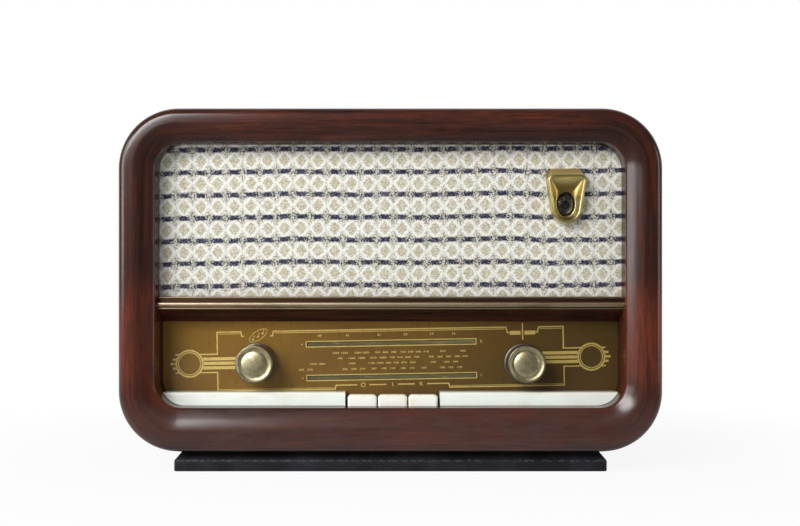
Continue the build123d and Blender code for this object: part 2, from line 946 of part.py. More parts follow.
def pointer_rail():
    """The steel rail that the pointer slides on."""
    reach = lug_thickness / 2
    return rod_x(rail_radius, rail_y, rail_z, left_pulley_x - reach, right_pulley_x + reach)


def dial_pointer():
    """The pointer: a needle under a carriage on the rail, with a hook back to the cord."""
    x = pointer_rest_x
    half = carriage_width / 2
    body_half = rail_radius + carriage_wall
    hook_z = run_z + cord_radius + cord_gap
    carriage = block(x - half, x + half, rail_y - body_half, rail_y + body_half,
                     hook_z, rail_z + body_half)
    carriage -= rod_x(rail_radius + running_gap, rail_y, rail_z, x - half - overcut,
                      x + half + overcut)
    hook = block(x - half / 2, x + half / 2, rail_y + body_half, cord_y + hook_sheet, hook_z,
                 hook_z + hook_sheet)
    needle_y = rail_y - body_half
    needle = block(x - pointer_width / 2, x + pointer_width / 2, needle_y,
                   needle_y + pointer_thickness, rail_z - pointer_length, rail_z)
    return carriage + hook + needle


# Tuning capacitor
capacitor_front = chassis_front + capacitor_setback
capacitor_length = vane_count * vane_pitch + 2 * vane_margin
capacitor_back = capacitor_front + capacitor_length
rotor_front = cord_y - drum_thickness / 2


def vane_y(number):
    """The front face of one rotor vane."""
    return capacitor_front + capacitor_sheet + vane_lead + number * vane_pitch


def capacitor_frame():
    """The bent frame of the tuning capacitor, with a bearing hole in each end plate."""
    half = capacitor_frame_width / 2
    floor = block(drum_x - half, drum_x + half, capacitor_front, capacitor_back,
                  chassis_top, chassis_top + capacitor_sheet)
    frame = floor
    for y in (capacitor_front, capacitor_back - capacitor_sheet):
        plate = area(drum_x - half, drum_x + half, chassis_top, chassis_top + capacitor_frame_height)
        plate -= Pos(drum_x, drum_z) * Circle(shaft_radius + running_gap)
        frame += slab(plate, y, y + capacitor_sheet)
    return frame


def half_disc(radius, side):
    """Half a disc on one side of the shaft."""
    box = Pos(drum_x + side * radius, drum_z) * Rectangle(2 * radius, 4 * radius)
    return (Pos(drum_x, drum_z) * Circle(radius)) & box


def capacitor_rotor():
    """The rotor: its shaft carries a stack of half-round vanes, turned by the drum."""
    rotor = rod_y(shaft_radius, drum_x, drum_z, rotor_front, capacitor_back + rotor_shaft_end)
    rest_turn = (pointer_rest_inset - pointer_start_inset) / cord_on_drum
    vane_area = half_disc(rotor_radius, -1)
    for number in range(vane_count):
        rotor += slab(vane_area, vane_y(number), vane_y(number) + vane_thickness)
    hub = rod_y(rotor_hub_radius, drum_x, drum_z, vane_y(0), vane_y(vane_count - 1) + vane_thickness)
    rotor += hub
    turned = Rot(0, rest_turn * 180 / pi, 0) * (Pos(-drum_x, 0, -drum_z) * rotor)
    return Pos(drum_x, 0, drum_z) * turned


def capacitor_stator():
    """The fixed vanes between the rotor's, held by two rods."""
    outline = half_disc(stator_outer_radius, -1)
    outline -= Pos(drum_x, drum_z) * Circle(stator_inner_radius)
    stator = None
    first = vane_y(0) + vane_pitch / 2
    for number in range(vane_count - 1):
        y = first + number * vane_pitch
        vane = slab(outline, y, y + vane_thickness)
        stator = vane if stator is None else stator + vane
    rod_at = (rotor_radius + stator_outer_radius) / 2
    for turn in (-stator_rod_turn, stator_rod_turn):
        x = drum_x - rod_at * cos(radians(turn))
        z = drum_z + rod_at * sin(radians(turn))
        stator += rod_y(stator_rod_radius, x, z, capacitor_front + capacitor_sheet,
                        capacitor_back - capacitor_sheet)
    return stator


# Chassis and what stands on it
def on_chassis(place):
    """X and Y of a place that is given by its distance behind the front edge or before the back."""
    x, distance = place
    return x, distance + (chassis_front if distance > 0 else chassis_back)


battens_x = chassis_half_width - batten_width / 2


def chassis_screw_places():
    """The four screws through the chassis flanges, in X and Y."""
    return [
        (side * battens_x, y)
        for side in (-1, 1)
        for y in (chassis_front + chassis_screw_inset, chassis_back - chassis_screw_inset)
    ]


def speaker_screw_places():
    """The four speaker screws, in X and Z."""
    reach = (speaker_radius + speaker_hole_radius) / 2
    return [
        (speaker_x + reach * cos(radians(45 + 90 * turn)), speaker_z + reach * sin(radians(45 + 90 * turn)))
        for turn in range(4)
    ]


def cover_block_places():
    """The four blocks that the back cover is screwed to, in X and Z."""
    x = inner_half_width - block_width / 2
    corner = inner_corner_radius + block_corner_gap
    return [(side * x, z) for side in (-1, 1) for z in (shell_floor + corner, shell_ceiling - corner)]


def chassis():
    """The folded steel chassis, open underneath, with holes for what stands on it."""
    half = chassis_half_width - chassis_flange
    box = block(-half, half, chassis_front, chassis_back, chassis_bottom, chassis_top)
    box -= block(-half + chassis_sheet, half - chassis_sheet, chassis_front + chassis_sheet,
                 chassis_back - chassis_sheet, chassis_bottom - overcut, chassis_top - chassis_sheet)
    for side in (-1, 1):
        x0, x1 = sorted((side * half, side * (half + chassis_flange)))
        box += block(x0, x1, chassis_front, chassis_back, chassis_bottom, chassis_bottom + chassis_sheet)
    for x in (volume_x, tuning_x):
        box -= rod_y(bushing_radius + fit_gap, x, knob_z, chassis_front - overcut,
                     chassis_front + 2 * chassis_sheet)
    box -= block(key_bay_left, key_bay_right, chassis_front - overcut,
                 chassis_front + 2 * chassis_sheet, chassis_bottom - overcut,
                 key_pivot_z + key_bracket_ear_width / 2)
    for x, y in map(on_chassis, valve_places):
        box -= rod_z(socket_body_radius + fit_gap, x, y, chassis_top - 2 * chassis_sheet,
                     chassis_top + overcut)
    for x, y in chassis_screw_places():
        box -= rod_z(screw_radius + screw_gap, x, y, chassis_bottom - overcut,
                     chassis_bottom + 2 * chassis_sheet)
    return box


def chassis_battens():
    """Two wooden runners that carry the chassis on the cabinet floor."""
    battens = []
    for side in (-1, 1):
        x0, x1 = sorted((side * (battens_x - batten_width / 2), side * (battens_x + batten_width / 2)))
        batten = block(x0, x1, chassis_front, chassis_back, shell_floor, chassis_bottom)
        for x, y in chassis_screw_places():
            batten -= rod_z(screw_radius + screw_gap, x, y, chassis_bottom - screw_length,
                            chassis_bottom + overcut)
        battens.append(batten)
    return Compound(children=battens)


def tube_sockets():
    """The valve sockets: a flange on the chassis and a round body through it."""
    sockets = []
    for x, y in map(on_chassis, valve_places):
        sockets.append(
            turned_z(
                [
                    (0, chassis_top - socket_drop),
                    (socket_body_radius, chassis_top - socket_drop),
                    (socket_body_radius, chassis_top),
                    (socket_flange_radius, chassis_top),
                    (socket_flange_radius, chassis_top + socket_flange),
                    (0, chassis_top + socket_flange),
                ],
                x,
                y,
            )
        )
    return Compound(children=sockets)


def valves():
    """The glass valves, straight below and closing to a pip at the top."""
    glass = []
    base = chassis_top + socket_flange
    for x, y in map(on_chassis, valve_places):
        outline = Polyline((0, base + valve_height), (0, base), (valve_radius, base),
                           (valve_radius, base + valve_height - valve_radius))
        shoulder = ThreePointArc(
            (valve_radius, base + valve_height - valve_radius),
            (valve_radius * cos(pi / 4), base + valve_height - valve_radius * (1 - sin(pi / 4))),
            (0, base + valve_height),
        )
        glass.append(Pos(x, y, 0) * revolve(Plane.XZ * make_face([outline, shoulder]), Axis.Z))
    return Compound(children=glass)


def coil_cans():
    """The square aluminium cans over the tuned coils."""
    cans = []
    for x, y in map(on_chassis, coil_can_places):
        can = Pos(x, y, chassis_top + can_height / 2) * Box(can_width, can_width, can_height)
        cans.append(fillet(can.edges().filter_by(Axis.Z), can_rounding))
    return Compound(children=cans)


def filter_capacitor():
    """The round can of the power supply's filter capacitor."""
    x, y = on_chassis(filter_place)
    can = rod_z(filter_radius, x, y, chassis_top, chassis_top + filter_height)
    return fillet(can.edges().group_by(Axis.Z)[-1], filter_rounding)


def transformer(place, width, depth, height):
    """A transformer: an iron core standing on the chassis, with its coil through the window."""
    x, y = on_chassis(place)
    core = Pos(x, y, chassis_top + height / 2) * Box(width, depth / 2, height)
    coil = Pos(x, y, chassis_top + height / 2) * Box(width * coil_share, depth, height * coil_share)
    coil = fillet(coil.edges().filter_by(Axis.Z), depth / 8)
    return core + coil


# Loudspeaker
flange_back = baffle_back + speaker_flange_thickness
basket_back = baffle_back + speaker_depth


def speaker_basket():
    """The pressed steel basket: a flat rim and a conical wall with four windows."""
    rim = speaker_hole_radius - rim_inset
    basket = turned_y(
        [
            (rim, baffle_back),
            (speaker_radius, baffle_back),
            (speaker_radius, flange_back),
            (rim + basket_sheet, flange_back),
            (magnet_radius, basket_back),
            (magnet_radius - basket_seat, basket_back),
            (magnet_radius - basket_seat, basket_back - basket_sheet),
            (magnet_radius - basket_sheet, basket_back - basket_sheet),
        ],
        speaker_x,
        speaker_z,
    )
    for turn in range(4):
        window = Pos(0, basket_back - window_depth, 0) * Box(window_width, window_reach, 4 * speaker_radius)
        window &= Pos(0, basket_back - window_depth, 2 * speaker_radius) * Box(
            4 * speaker_radius, 4 * speaker_radius, 4 * speaker_radius
        )
        basket -= Pos(speaker_x, 0, speaker_z) * Rot(0, 90 * turn, 0) * window
    for x, z in speaker_screw_places():
        basket -= rod_y(screw_radius + screw_gap, x, z, baffle_back - overcut, flange_back + overcut)
    return basket


def speaker_cone():
    """The paper cone with its coil former and dust cap."""
    rim = speaker_hole_radius - rim_inset - cone_rim_gap
    wall = cone_thickness
    rim_y = flange_back - cone_rim_height
    neck_y = basket_back - basket_sheet - cone_clearance
    cap_y = neck_y - cap_rim
    return turned_y(
        [
            (rim - wall, rim_y),
            (rim, rim_y),
            (voice_coil_radius + wall, neck_y),
            (voice_coil_radius + wall, basket_back + coil_reach),
            (voice_coil_radius, basket_back + coil_reach),
            (voice_coil_radius, cap_y),
            (0, cap_y - dust_cap_rise),
            (0, cap_y - dust_cap_rise - wall),
            (voice_coil_radius, cap_y - wall - cap_rim),
        ],
        speaker_x,
        speaker_z,
    )


def speaker_magnet():
    """The magnet pot with its round gap for the coil."""
    inner = voice_coil_radius - magnet_gap
    outer = voice_coil_radius + cone_thickness + magnet_gap
    return turned_y(
        [
            (0, basket_back),
            (inner, basket_back),
            (inner, basket_back + magnet_gap_depth),
            (outer, basket_back + magnet_gap_depth),
            (outer, basket_back),
            (magnet_radius, basket_back),
            (magnet_radius, basket_back + magnet_length),
            (0, basket_back + magnet_length),
        ],
        speaker_x,
        speaker_z,
    )


# Tuning eye
eye_tube_z = eye_z - bezel_hole_drop
eye_tube_front = frame_back + eye_tube_gap


def eye_bezel():
    """The moulded bezel of the tuning eye: flared base, thin rim and a funnel to an oval hole."""
    rim_front = frame_back - bezel_proud
    base = Plane.XZ.offset(-frame_back) * eye_outline(bezel_flare, bezel_top_flare, bezel_flare)
    rim = Plane.XZ.offset(-rim_front) * eye_outline()
    body = loft([base, rim], ruled=True)
    mouth = Plane.XZ.offset(-rim_front) * eye_outline(-bezel_rim, -bezel_rim, -bezel_rim)
    throat = Plane.XZ.offset(-rim_front - bezel_funnel_depth) * eye_outline(
        -bezel_throat, -bezel_throat, -bezel_throat
    )
    body -= loft([mouth, throat], ruled=True)
    return body - slab(eye_hole(), rim_front - overcut, frame_back + overcut)


def eye_tube():
    """The tuning-eye tube, with a domed end behind the bezel."""
    shoulder = eye_tube_front + eye_dome
    outline = Polyline((0, eye_tube_front), (0, eye_tube_front + eye_tube_length),
                       (eye_tube_radius, eye_tube_front + eye_tube_length), (eye_tube_radius, shoulder))
    dome = dome_arc(eye_tube_radius, shoulder, eye_tube_front)
    return Pos(eye_x, 0, eye_tube_z) * revolve(make_face([outline, dome]), Axis.Y)


def eye_clip():
    """The spring clip on the back of the board that holds the tube."""
    inner = eye_tube_radius + press_gap
    return turned_y(
        [
            (inner, baffle_back),
            (inner + eye_clip_flange, baffle_back),
            (inner + eye_clip_flange, baffle_back + clip_sheet),
            (inner + clip_sheet, baffle_back + clip_sheet),
            (inner + clip_sheet, baffle_back + eye_clip_length),
            (inner, baffle_back + eye_clip_length),
        ],
        eye_x,
        eye_tube_z,
    )


# Back of the set
def socket_x_places():
    """The middles of the sockets."""
    return [strip_x + (number - (socket_count - 1) / 2) * socket_spacing for number in range(socket_count)]


def back_cover():
    """The perforated fibreboard back, with rows of slots and round holes for sockets and grommet."""
    outline = board_area()
    slot = SlotOverall(vent_length, vent_width, rotation=90)
    outline -= [
        Pos(place.position.X, vent_middle_z + place.position.Y) * slot
        for place in GridLocations(vent_pitch_x, vent_pitch_z, vent_columns, vent_rows)
    ]
    for x in socket_x_places():
        outline -= Pos(x, strip_z) * Circle(socket_bore_radius + socket_wall + socket_hole_gap)
    outline -= Pos(grommet_x, grommet_z) * Circle(grommet_neck_radius)
    for x, z in cover_block_places():
        outline -= Pos(x, z) * Circle(screw_radius + screw_gap)
    return slab(outline, cover_front, cover_front + cover_thickness)


def cover_blocks():
    """The wooden blocks inside the cabinet that the back is screwed to."""
    blocks = []
    for x, z in cover_block_places():
        piece = block(x - block_width / 2, x + block_width / 2, cover_front - block_depth, cover_front,
                      z - block_length / 2, z + block_length / 2)
        hole_end = cover_front + cover_thickness - screw_length
        blocks.append(piece - rod_y(screw_radius + screw_gap, x, z, hole_end, cover_front + overcut))
    return Compound(children=blocks)


def screw(length):
    """A round-headed screw that points down, with its head on the level of its origin."""
    head = fillet(Cylinder(screw_head_radius, screw_head_height).edges().group_by(Axis.Z)[-1], 1)
    shank = Pos(0, 0, -length / 2) * Cylinder(screw_radius, length)
    return Pos(0, 0, screw_head_height / 2) * head + shank


def wood_screws():
    """All the wood screws: chassis, loudspeaker and back."""
    screws = []
    for x, y in chassis_screw_places():
        screws.append(Pos(x, y, chassis_bottom + chassis_sheet) * screw(screw_length - screw_tip_gap))
    for x, z in speaker_screw_places():
        length = screw_length / 2 + speaker_flange_thickness - screw_tip_gap
        screws.append(Pos(x, flange_back, z) * Rot(-90, 0, 0) * screw(length))
    for x, z in cover_block_places():
        seat = cover_front + cover_thickness
        length = block_depth + cover_thickness - 2 * screw_tip_gap
        screws.append(Pos(x, seat, z) * Rot(-90, 0, 0) * screw(length))
    return Compound(children=screws)


def socket_strip():
    """The strip of sockets for aerial and earth, on the back of the chassis."""
    half = socket_count * socket_spacing / 2
    strip_back = chassis_back + strip_thickness
    strip = block(strip_x - half, strip_x + half, chassis_back, strip_back,
                  strip_z - strip_half, strip_z + strip_half)
    for x in socket_x_places():
        strip += rod_y(socket_bore_radius + socket_wall, x, strip_z, strip_back,
                       strip_back + socket_length)
        strip -= rod_y(socket_bore_radius, x, strip_z, strip_back, strip_back + socket_length + overcut)
    return strip


def cord_grommet():
    """The grommet in the back that a mains lead goes through."""
    flange_front = cover_front - grommet_flange
    flange_end = cover_front + cover_thickness + grommet_flange
    neck = grommet_neck_radius - press_gap
    return turned_y(
        [
            (grommet_bore_radius, flange_front),
            (grommet_radius, flange_front),
            (grommet_radius, cover_front),
            (neck, cover_front),
            (neck, cover_front + cover_thickness),
            (grommet_radius, cover_front + cover_thickness),
            (grommet_radius, flange_end),
            (grommet_bore_radius, flange_end),
        ],
        grommet_x,
        grommet_z,
    )


save("cabinet_shell", cabinet_shell())
save("front_frame", front_frame())
save("plinth", plinth())
save("baffle_board", baffle_board())
save("grille_cloth", grille_cloth())
save("divider_rail", divider_rail())
save("brass_trim", brass_trim())
save("dial_cheek_left", cheek(key_bay_left, -cabinet_width))
save("dial_cheek_right", cheek(key_bay_right, cabinet_width))
save("filler_strip_left", filler_strip(key_bay_left, -cabinet_width))
save("filler_strip_right", filler_strip(key_bay_right, cabinet_width))
save("dial_glass", dial_glass())
save("glass_clips", glass_clips())
for number in range(key_count):
    save(f"key_cap_{number + 1}", key_cap(number))
    save(f"key_lever_{number + 1}", key_lever(number))
save("key_rod", key_rod())
save("key_bracket", key_bracket())
save("key_springs", key_springs())
save("volume_knob", knob(volume_x))
save("volume_knob_cap", knob_cap(volume_x))
save("volume_shaft", volume_shaft())
save("volume_control", volume_control())
save("tuning_knob", knob(tuning_x))
save("tuning_knob_cap", knob_cap(tuning_x))
save("tuning_shaft", tuning_shaft())
save("tuning_bushing", tuning_bushing())
save("drive_drum", drive_drum())
save("capacitor_rotor", capacitor_rotor())
save("capacitor_stator", capacitor_stator())
save("capacitor_frame", capacitor_frame())
save("pulley_left", pulley(left_pulley_x, left_pulley_z))
save("pulley_right", pulley(right_pulley_x, right_pulley_z))
save("drive_cord", drive_cord())
save("dial_backplate", dial_backplate())
save("pointer_rail", pointer_rail())
save("dial_pointer", dial_pointer())
save("dial_lamps", dial_lamps())
save("chassis", chassis())
save("chassis_battens", chassis_battens())
save("tube_sockets", tube_sockets())
save("valves", valves())
save("coil_cans", coil_cans())
save("filter_capacitor", filter_capacitor())
save("mains_transformer", transformer(mains_place, mains_width, mains_depth, mains_height))
save("output_transformer", transformer(output_place, output_width, output_depth, output_height))
save("speaker_basket", speaker_basket())
save("speaker_cone", speaker_cone())
save("speaker_magnet", speaker_magnet())
save("eye_bezel", eye_bezel())
save("eye_tube", eye_tube())
save("eye_clip", eye_clip())
save("back_cover", back_cover())
save("cover_blocks", cover_blocks())
save("wood_screws", wood_screws())
save("socket_strip", socket_strip())
save("cord_grommet", cord_grommet())
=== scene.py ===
# %% [markdown]
# # A wooden table radio
# The radio's construction is already there: a fixed frame of sixty pieces in their real places, and
# the joints between them. This notebook gives the pieces that show their real surfaces: moulded
# and varnished wood, woven cloth, brass, printed glass and turned metal. Every length below is in
# metres, and every place is worked out from the frame.

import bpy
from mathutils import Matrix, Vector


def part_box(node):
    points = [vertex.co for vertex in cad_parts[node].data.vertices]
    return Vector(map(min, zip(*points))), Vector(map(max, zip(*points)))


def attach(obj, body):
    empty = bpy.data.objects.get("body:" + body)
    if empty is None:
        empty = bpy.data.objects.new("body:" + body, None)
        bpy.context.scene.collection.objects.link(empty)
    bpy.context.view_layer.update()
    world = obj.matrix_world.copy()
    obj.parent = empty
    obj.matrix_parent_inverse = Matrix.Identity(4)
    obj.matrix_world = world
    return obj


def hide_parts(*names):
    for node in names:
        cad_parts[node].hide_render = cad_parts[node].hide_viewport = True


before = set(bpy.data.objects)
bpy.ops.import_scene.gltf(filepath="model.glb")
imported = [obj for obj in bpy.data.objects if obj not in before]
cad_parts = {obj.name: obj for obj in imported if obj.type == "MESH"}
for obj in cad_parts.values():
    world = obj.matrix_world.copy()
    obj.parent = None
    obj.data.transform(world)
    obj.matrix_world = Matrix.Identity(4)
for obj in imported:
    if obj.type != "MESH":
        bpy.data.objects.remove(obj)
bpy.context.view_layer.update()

# %% [markdown]
# ## Places that the frame gives
# A new piece has to sit on what carries it. So its place is read from the pieces of the frame,
# and never typed in a second time.

# %% Read the places
import math

import bmesh
import bpy
import numpy as np
from mathutils import Vector

MM = 0.001
shell_low, shell_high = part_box("cabinet_shell")
rim_low, rim_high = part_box("front_frame")
board_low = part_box("baffle_board")[0]
glass_low, glass_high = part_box("dial_glass")
divider_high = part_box("divider_rail")[1]
plinth_low, plinth_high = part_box("plinth")
bezel_low, bezel_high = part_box("eye_bezel")
front_y = rim_low.y
frame_back_y = rim_high.y
back_y = shell_high.y
half_width = shell_high.x
half_height = (shell_high.z - shell_low.z) / 2
middle_z = (shell_high.z + shell_low.z) / 2
print("cabinet:", round(2 * half_width, 3), "by", round(2 * half_height, 3), "m")

# %% [markdown]
# ## Making a mesh from arrays
# A shape here is a set of rings: closed outlines with the same number of points, one after
# the other along the piece. NumPy works out all the points at once, and each quad joins two
# neighbours on one ring to the two on the next. The same routine makes a frame, a knob or a key.

# %% Mesh from rings
def add_mesh(name, points, faces, grain=None):
    """An object from an (n, 3) array of points and a list of faces. grain holds three numbers for
    each point: the distance along the wood's fibres, the distance across them, and a side shift."""
    mesh = bpy.data.meshes.new(name)
    mesh.from_pydata(np.asarray(points, float).tolist(), [], faces)
    if grain is not None:
        lane = mesh.attributes.new("grain", "FLOAT_VECTOR", "POINT")
        lane.data.foreach_set("vector", np.asarray(grain, np.float32).ravel())
    thing = bpy.data.objects.new(name, mesh)
    bpy.context.scene.collection.objects.link(thing)
    work = bmesh.new()
    work.from_mesh(mesh)
    bmesh.ops.remove_doubles(work, verts=work.verts, dist=1e-7)
    bmesh.ops.recalc_face_normals(work, faces=work.faces)
    work.to_mesh(mesh)
    work.free()
    mesh.shade_smooth()
    return thing


def quads(rows, columns, wrap_rows=False, wrap_columns=True):
    """The faces of a grid of points: each joins a point, its right neighbour and the two below."""
    row = np.arange(rows if wrap_rows else rows - 1)[:, None]
    column = np.arange(columns if wrap_columns else columns - 1)[None, :]
    below = (row + 1) % rows
    right = (column + 1) % columns
    corners = [row * columns + column, row * columns + right, below * columns + right,
               below * columns + column]
    return np.stack(np.broadcast_arrays(*corners), -1).reshape(-1, 4).tolist()


def from_rings(name, rings, grain=None, ring_around=False, caps=True):
    """A piece from an (m, n, 3) array of rings. Its ends are closed by a face each, or the last
    ring joins the first where the section itself is closed."""
    rings = np.asarray(rings, float)
    rows, columns = rings.shape[:2]
    faces = quads(rows, columns, wrap_rows=ring_around)
    if caps and not ring_around:
        faces.append(list(range(columns)))
        faces.append([(rows - 1) * columns + place for place in range(columns)])
    flat_grain = None if grain is None else np.asarray(grain).reshape(-1, 3)
    return add_mesh(name, rings.reshape(-1, 3), faces, flat_grain)


def keep_edges_crisp(thing, degrees=35):
    """Edges sharper than this angle stay sharp in the shading, the others look round."""
    thing.data.set_sharp_from_angle(angle=math.radians(degrees))


print("mesh helpers ready")

# %% [markdown]
# ## Outlines
# Most outlines of this radio are rectangles with round corners. With the same count of points on
# every straight and every corner, two such outlines of different size match point for point, so a
# moulding can pass smoothly from one to the other.

# %% Round-cornered outlines
def round_rect(half_x, half_z, radius, mid_x=0.0, mid_z=0.0, corner_steps=20, side_steps=16):
    """An (n, 2) outline: four quarter circles of the radius joined by straights. It starts at the
    middle of the bottom and runs to the right."""
    turn = np.linspace(0, np.pi / 2, corner_steps + 1)[1:-1]
    step = np.linspace(0, 1, side_steps + 1)
    sides = []
    corners = [(1, -1), (1, 1), (-1, 1), (-1, -1)]
    reach_x = half_x - radius
    reach_z = half_z - radius
    previous = np.array([0, -half_z])
    for place, (sx, sz) in enumerate(corners):
        centre = np.array([sx * reach_x, sz * reach_z])
        first = -np.pi / 2 + place * np.pi / 2
        arc_start = centre + radius * np.array([np.cos(first), np.sin(first)])
        sides.append(previous + step[:, None] * (arc_start - previous))
        arc = centre + radius * np.stack([np.cos(first + turn), np.sin(first + turn)], 1)
        sides.append(arc)
        previous = centre + radius * np.array([np.cos(first + np.pi / 2), np.sin(first + np.pi / 2)])
    sides.append(previous + step[:-1, None] * (np.array([0, -half_z]) - previous))
    return np.concatenate(sides) + (mid_x, mid_z)


def walk(outline):
    """The distance along a closed outline from its start to each of its points, by the shorter
    way round, so that both halves run alike from the bottom to the top."""
    legs = np.linalg.norm(np.diff(outline, axis=0, append=outline[:1]), axis=1)
    distance = np.concatenate([[0], np.cumsum(legs)[:-1]])
    return np.minimum(distance, legs.sum() - distance)


def upright(outline, depth):
    """An outline drawn in X and Z, set at one depth."""
    return np.stack([outline[:, 0], np.full(len(outline), depth), outline[:, 1]], 1)


print("an outline has", len(round_rect(1, 1, 0.2)), "points")

# %% [markdown]
# ## Finishes as formulas
# A material is a small calculation that runs at every point of a surface. Written with nodes
# alone it soon gets hard to read, so a Field stands for one number of that calculation, and its
# signs plus, minus, times and divide lay the nodes. What is the same all over a surface is set on
# the shader itself.

# %% Fields and finishes
class Field:
    """One number at every point of a surface."""

    def __init__(self, tree, socket):
        self.tree = tree
        self.socket = socket

    def math(self, operation, *others):
        """A Math node on this field and the others, which are fields or plain numbers."""
        node = self.tree.nodes.new("ShaderNodeMath")
        node.operation = operation
        for place, value in enumerate((self,) + others):
            if isinstance(value, Field):
                self.tree.links.new(value.socket, node.inputs[place])
            else:
                node.inputs[place].default_value = value
        return Field(self.tree, node.outputs[0])

    def __add__(self, other):
        return self.math("ADD", other)

    def __sub__(self, other):
        return self.math("SUBTRACT", other)

    def __mul__(self, other):
        return self.math("MULTIPLY", other)

    def __truediv__(self, other):
        return self.math("DIVIDE", other)

    def __abs__(self):
        return self.math("ABSOLUTE")

    def flip(self):
        """One minus the field."""
        return self * -1 + 1

    def sine(self, length):
        """A wave of this length, from minus one to one."""
        return (self * (2 * math.pi / length)).math("SINE")

    def cell(self):
        """The place within a cell of length one, from minus a half to a half."""
        return (self + 0.5).math("FRACT") - 0.5

    def step(self, low, high):
        """Nought below low, one above high, and smooth between."""
        node = self.tree.nodes.new("ShaderNodeMapRange")
        node.interpolation_type = "SMOOTHSTEP"
        self.tree.links.new(self.socket, node.inputs["Value"])
        node.inputs["From Min"].default_value = low
        node.inputs["From Max"].default_value = high
        return Field(self.tree, node.outputs["Result"])


class Finish:
    """A material with one Principled shader, and short ways to feed it."""

    def __init__(self, name, **constants):
        self.material = bpy.data.materials.new(name)
        self.material.use_nodes = True
        self.tree = self.material.node_tree
        self.shader = self.tree.nodes["Principled BSDF"]
        self.bumps = None
        for socket, value in constants.items():
            self.shader.inputs[socket.replace("_", " ")].default_value = value

    def node(self, kind, **settings):
        made = self.tree.nodes.new(kind)
        for key, value in settings.items():
            setattr(made, key, value)
        return made

    def place(self):
        """Object coordinates: metres along X, Y and Z."""
        return self.node("ShaderNodeTexCoord").outputs["Object"]

    def lane(self, name="grain"):
        """The piece's own attribute: metres along and across the fibres, or for a turned piece its
        radius, depth and turn."""
        return self.node("ShaderNodeAttribute", attribute_name=name).outputs["Vector"]

    def parts(self, vector):
        """The three numbers of a vector, as fields."""
        split = self.node("ShaderNodeSeparateXYZ")
        self.tree.links.new(vector, split.inputs[0])
        return [Field(self.tree, out) for out in split.outputs]

    def stretch(self, vector, factors):
        """The vector with each part multiplied by its own factor."""
        scaled = self.node("ShaderNodeVectorMath", operation="MULTIPLY")
        self.tree.links.new(vector, scaled.inputs[0])
        scaled.inputs[1].default_value = factors
        return scaled.outputs[0]

    def noise(self, vector, scale, detail=3.0, roughness=0.55, twist=0.0):
        """Smooth noise from about a quarter to three quarters, at so many lumps a metre."""
        made = self.node("ShaderNodeTexNoise")
        self.tree.links.new(vector, made.inputs["Vector"])
        made.inputs["Scale"].default_value = scale
        made.inputs["Detail"].default_value = detail
        made.inputs["Roughness"].default_value = roughness
        made.inputs["Distortion"].default_value = twist
        return Field(self.tree, made.outputs[0])

    def mix(self, amount, first, second):
        """A colour between two, which are colours or the results of earlier mixes."""
        made = self.node("ShaderNodeMix", data_type="RGBA")
        self.tree.links.new(amount.socket, made.inputs[0])
        for slot, colour in ((made.inputs[6], first), (made.inputs[7], second)):
            if isinstance(colour, tuple):
                slot.default_value = colour + (1.0,)
            else:
                self.tree.links.new(colour, slot)
        return made.outputs[2]

    def feed(self, socket, value):
        """Links a field or a colour to one of the shader's sockets."""
        self.tree.links.new(value.socket if isinstance(value, Field) else value,
                            self.shader.inputs[socket])

    def colour_so_far(self):
        """The colour that feeds the shader now, for a further mix."""
        return self.shader.inputs["Base Color"].links[0].from_socket

    def bump(self, height, distance, strength=1.0):
        """Raises the surface by the field times the distance, in the shading only."""
        made = self.node("ShaderNodeBump")
        made.inputs["Strength"].default_value = strength
        made.inputs["Distance"].default_value = distance
        self.tree.links.new(height.socket, made.inputs["Height"])
        if self.bumps is not None:
            self.tree.links.new(self.bumps, made.inputs["Normal"])
        self.bumps = made.outputs[0]
        self.tree.links.new(self.bumps, self.shader.inputs["Normal"])


def dress(thing, body, slot, finish, *nodes):
    """Gives a piece its finish, lets it ride on a body and puts it in the place of frame nodes."""
    thing.data.materials.clear()
    thing.data.materials.append(finish.material)
    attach(thing, body)
    if nodes:
        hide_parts(*nodes)
    print(thing.name, len(thing.data.polygons), "faces")
    return thing


print("finish helpers ready")

# %% [markdown]
# ## Varnished mahogany
# The cabinet is dark red-brown wood under a glossy varnish. Wood looks like wood when its streaks
# run along the piece: so the noise is stretched along the fibres, by the attribute that each
# wooden piece carries. Broad streaks, short flames, fine fibres and pores are four noises at four
# scales, and a fifth changes the tone slowly. The varnish is the shader's coat.

# %% Mahogany
grip_z = 125 * MM


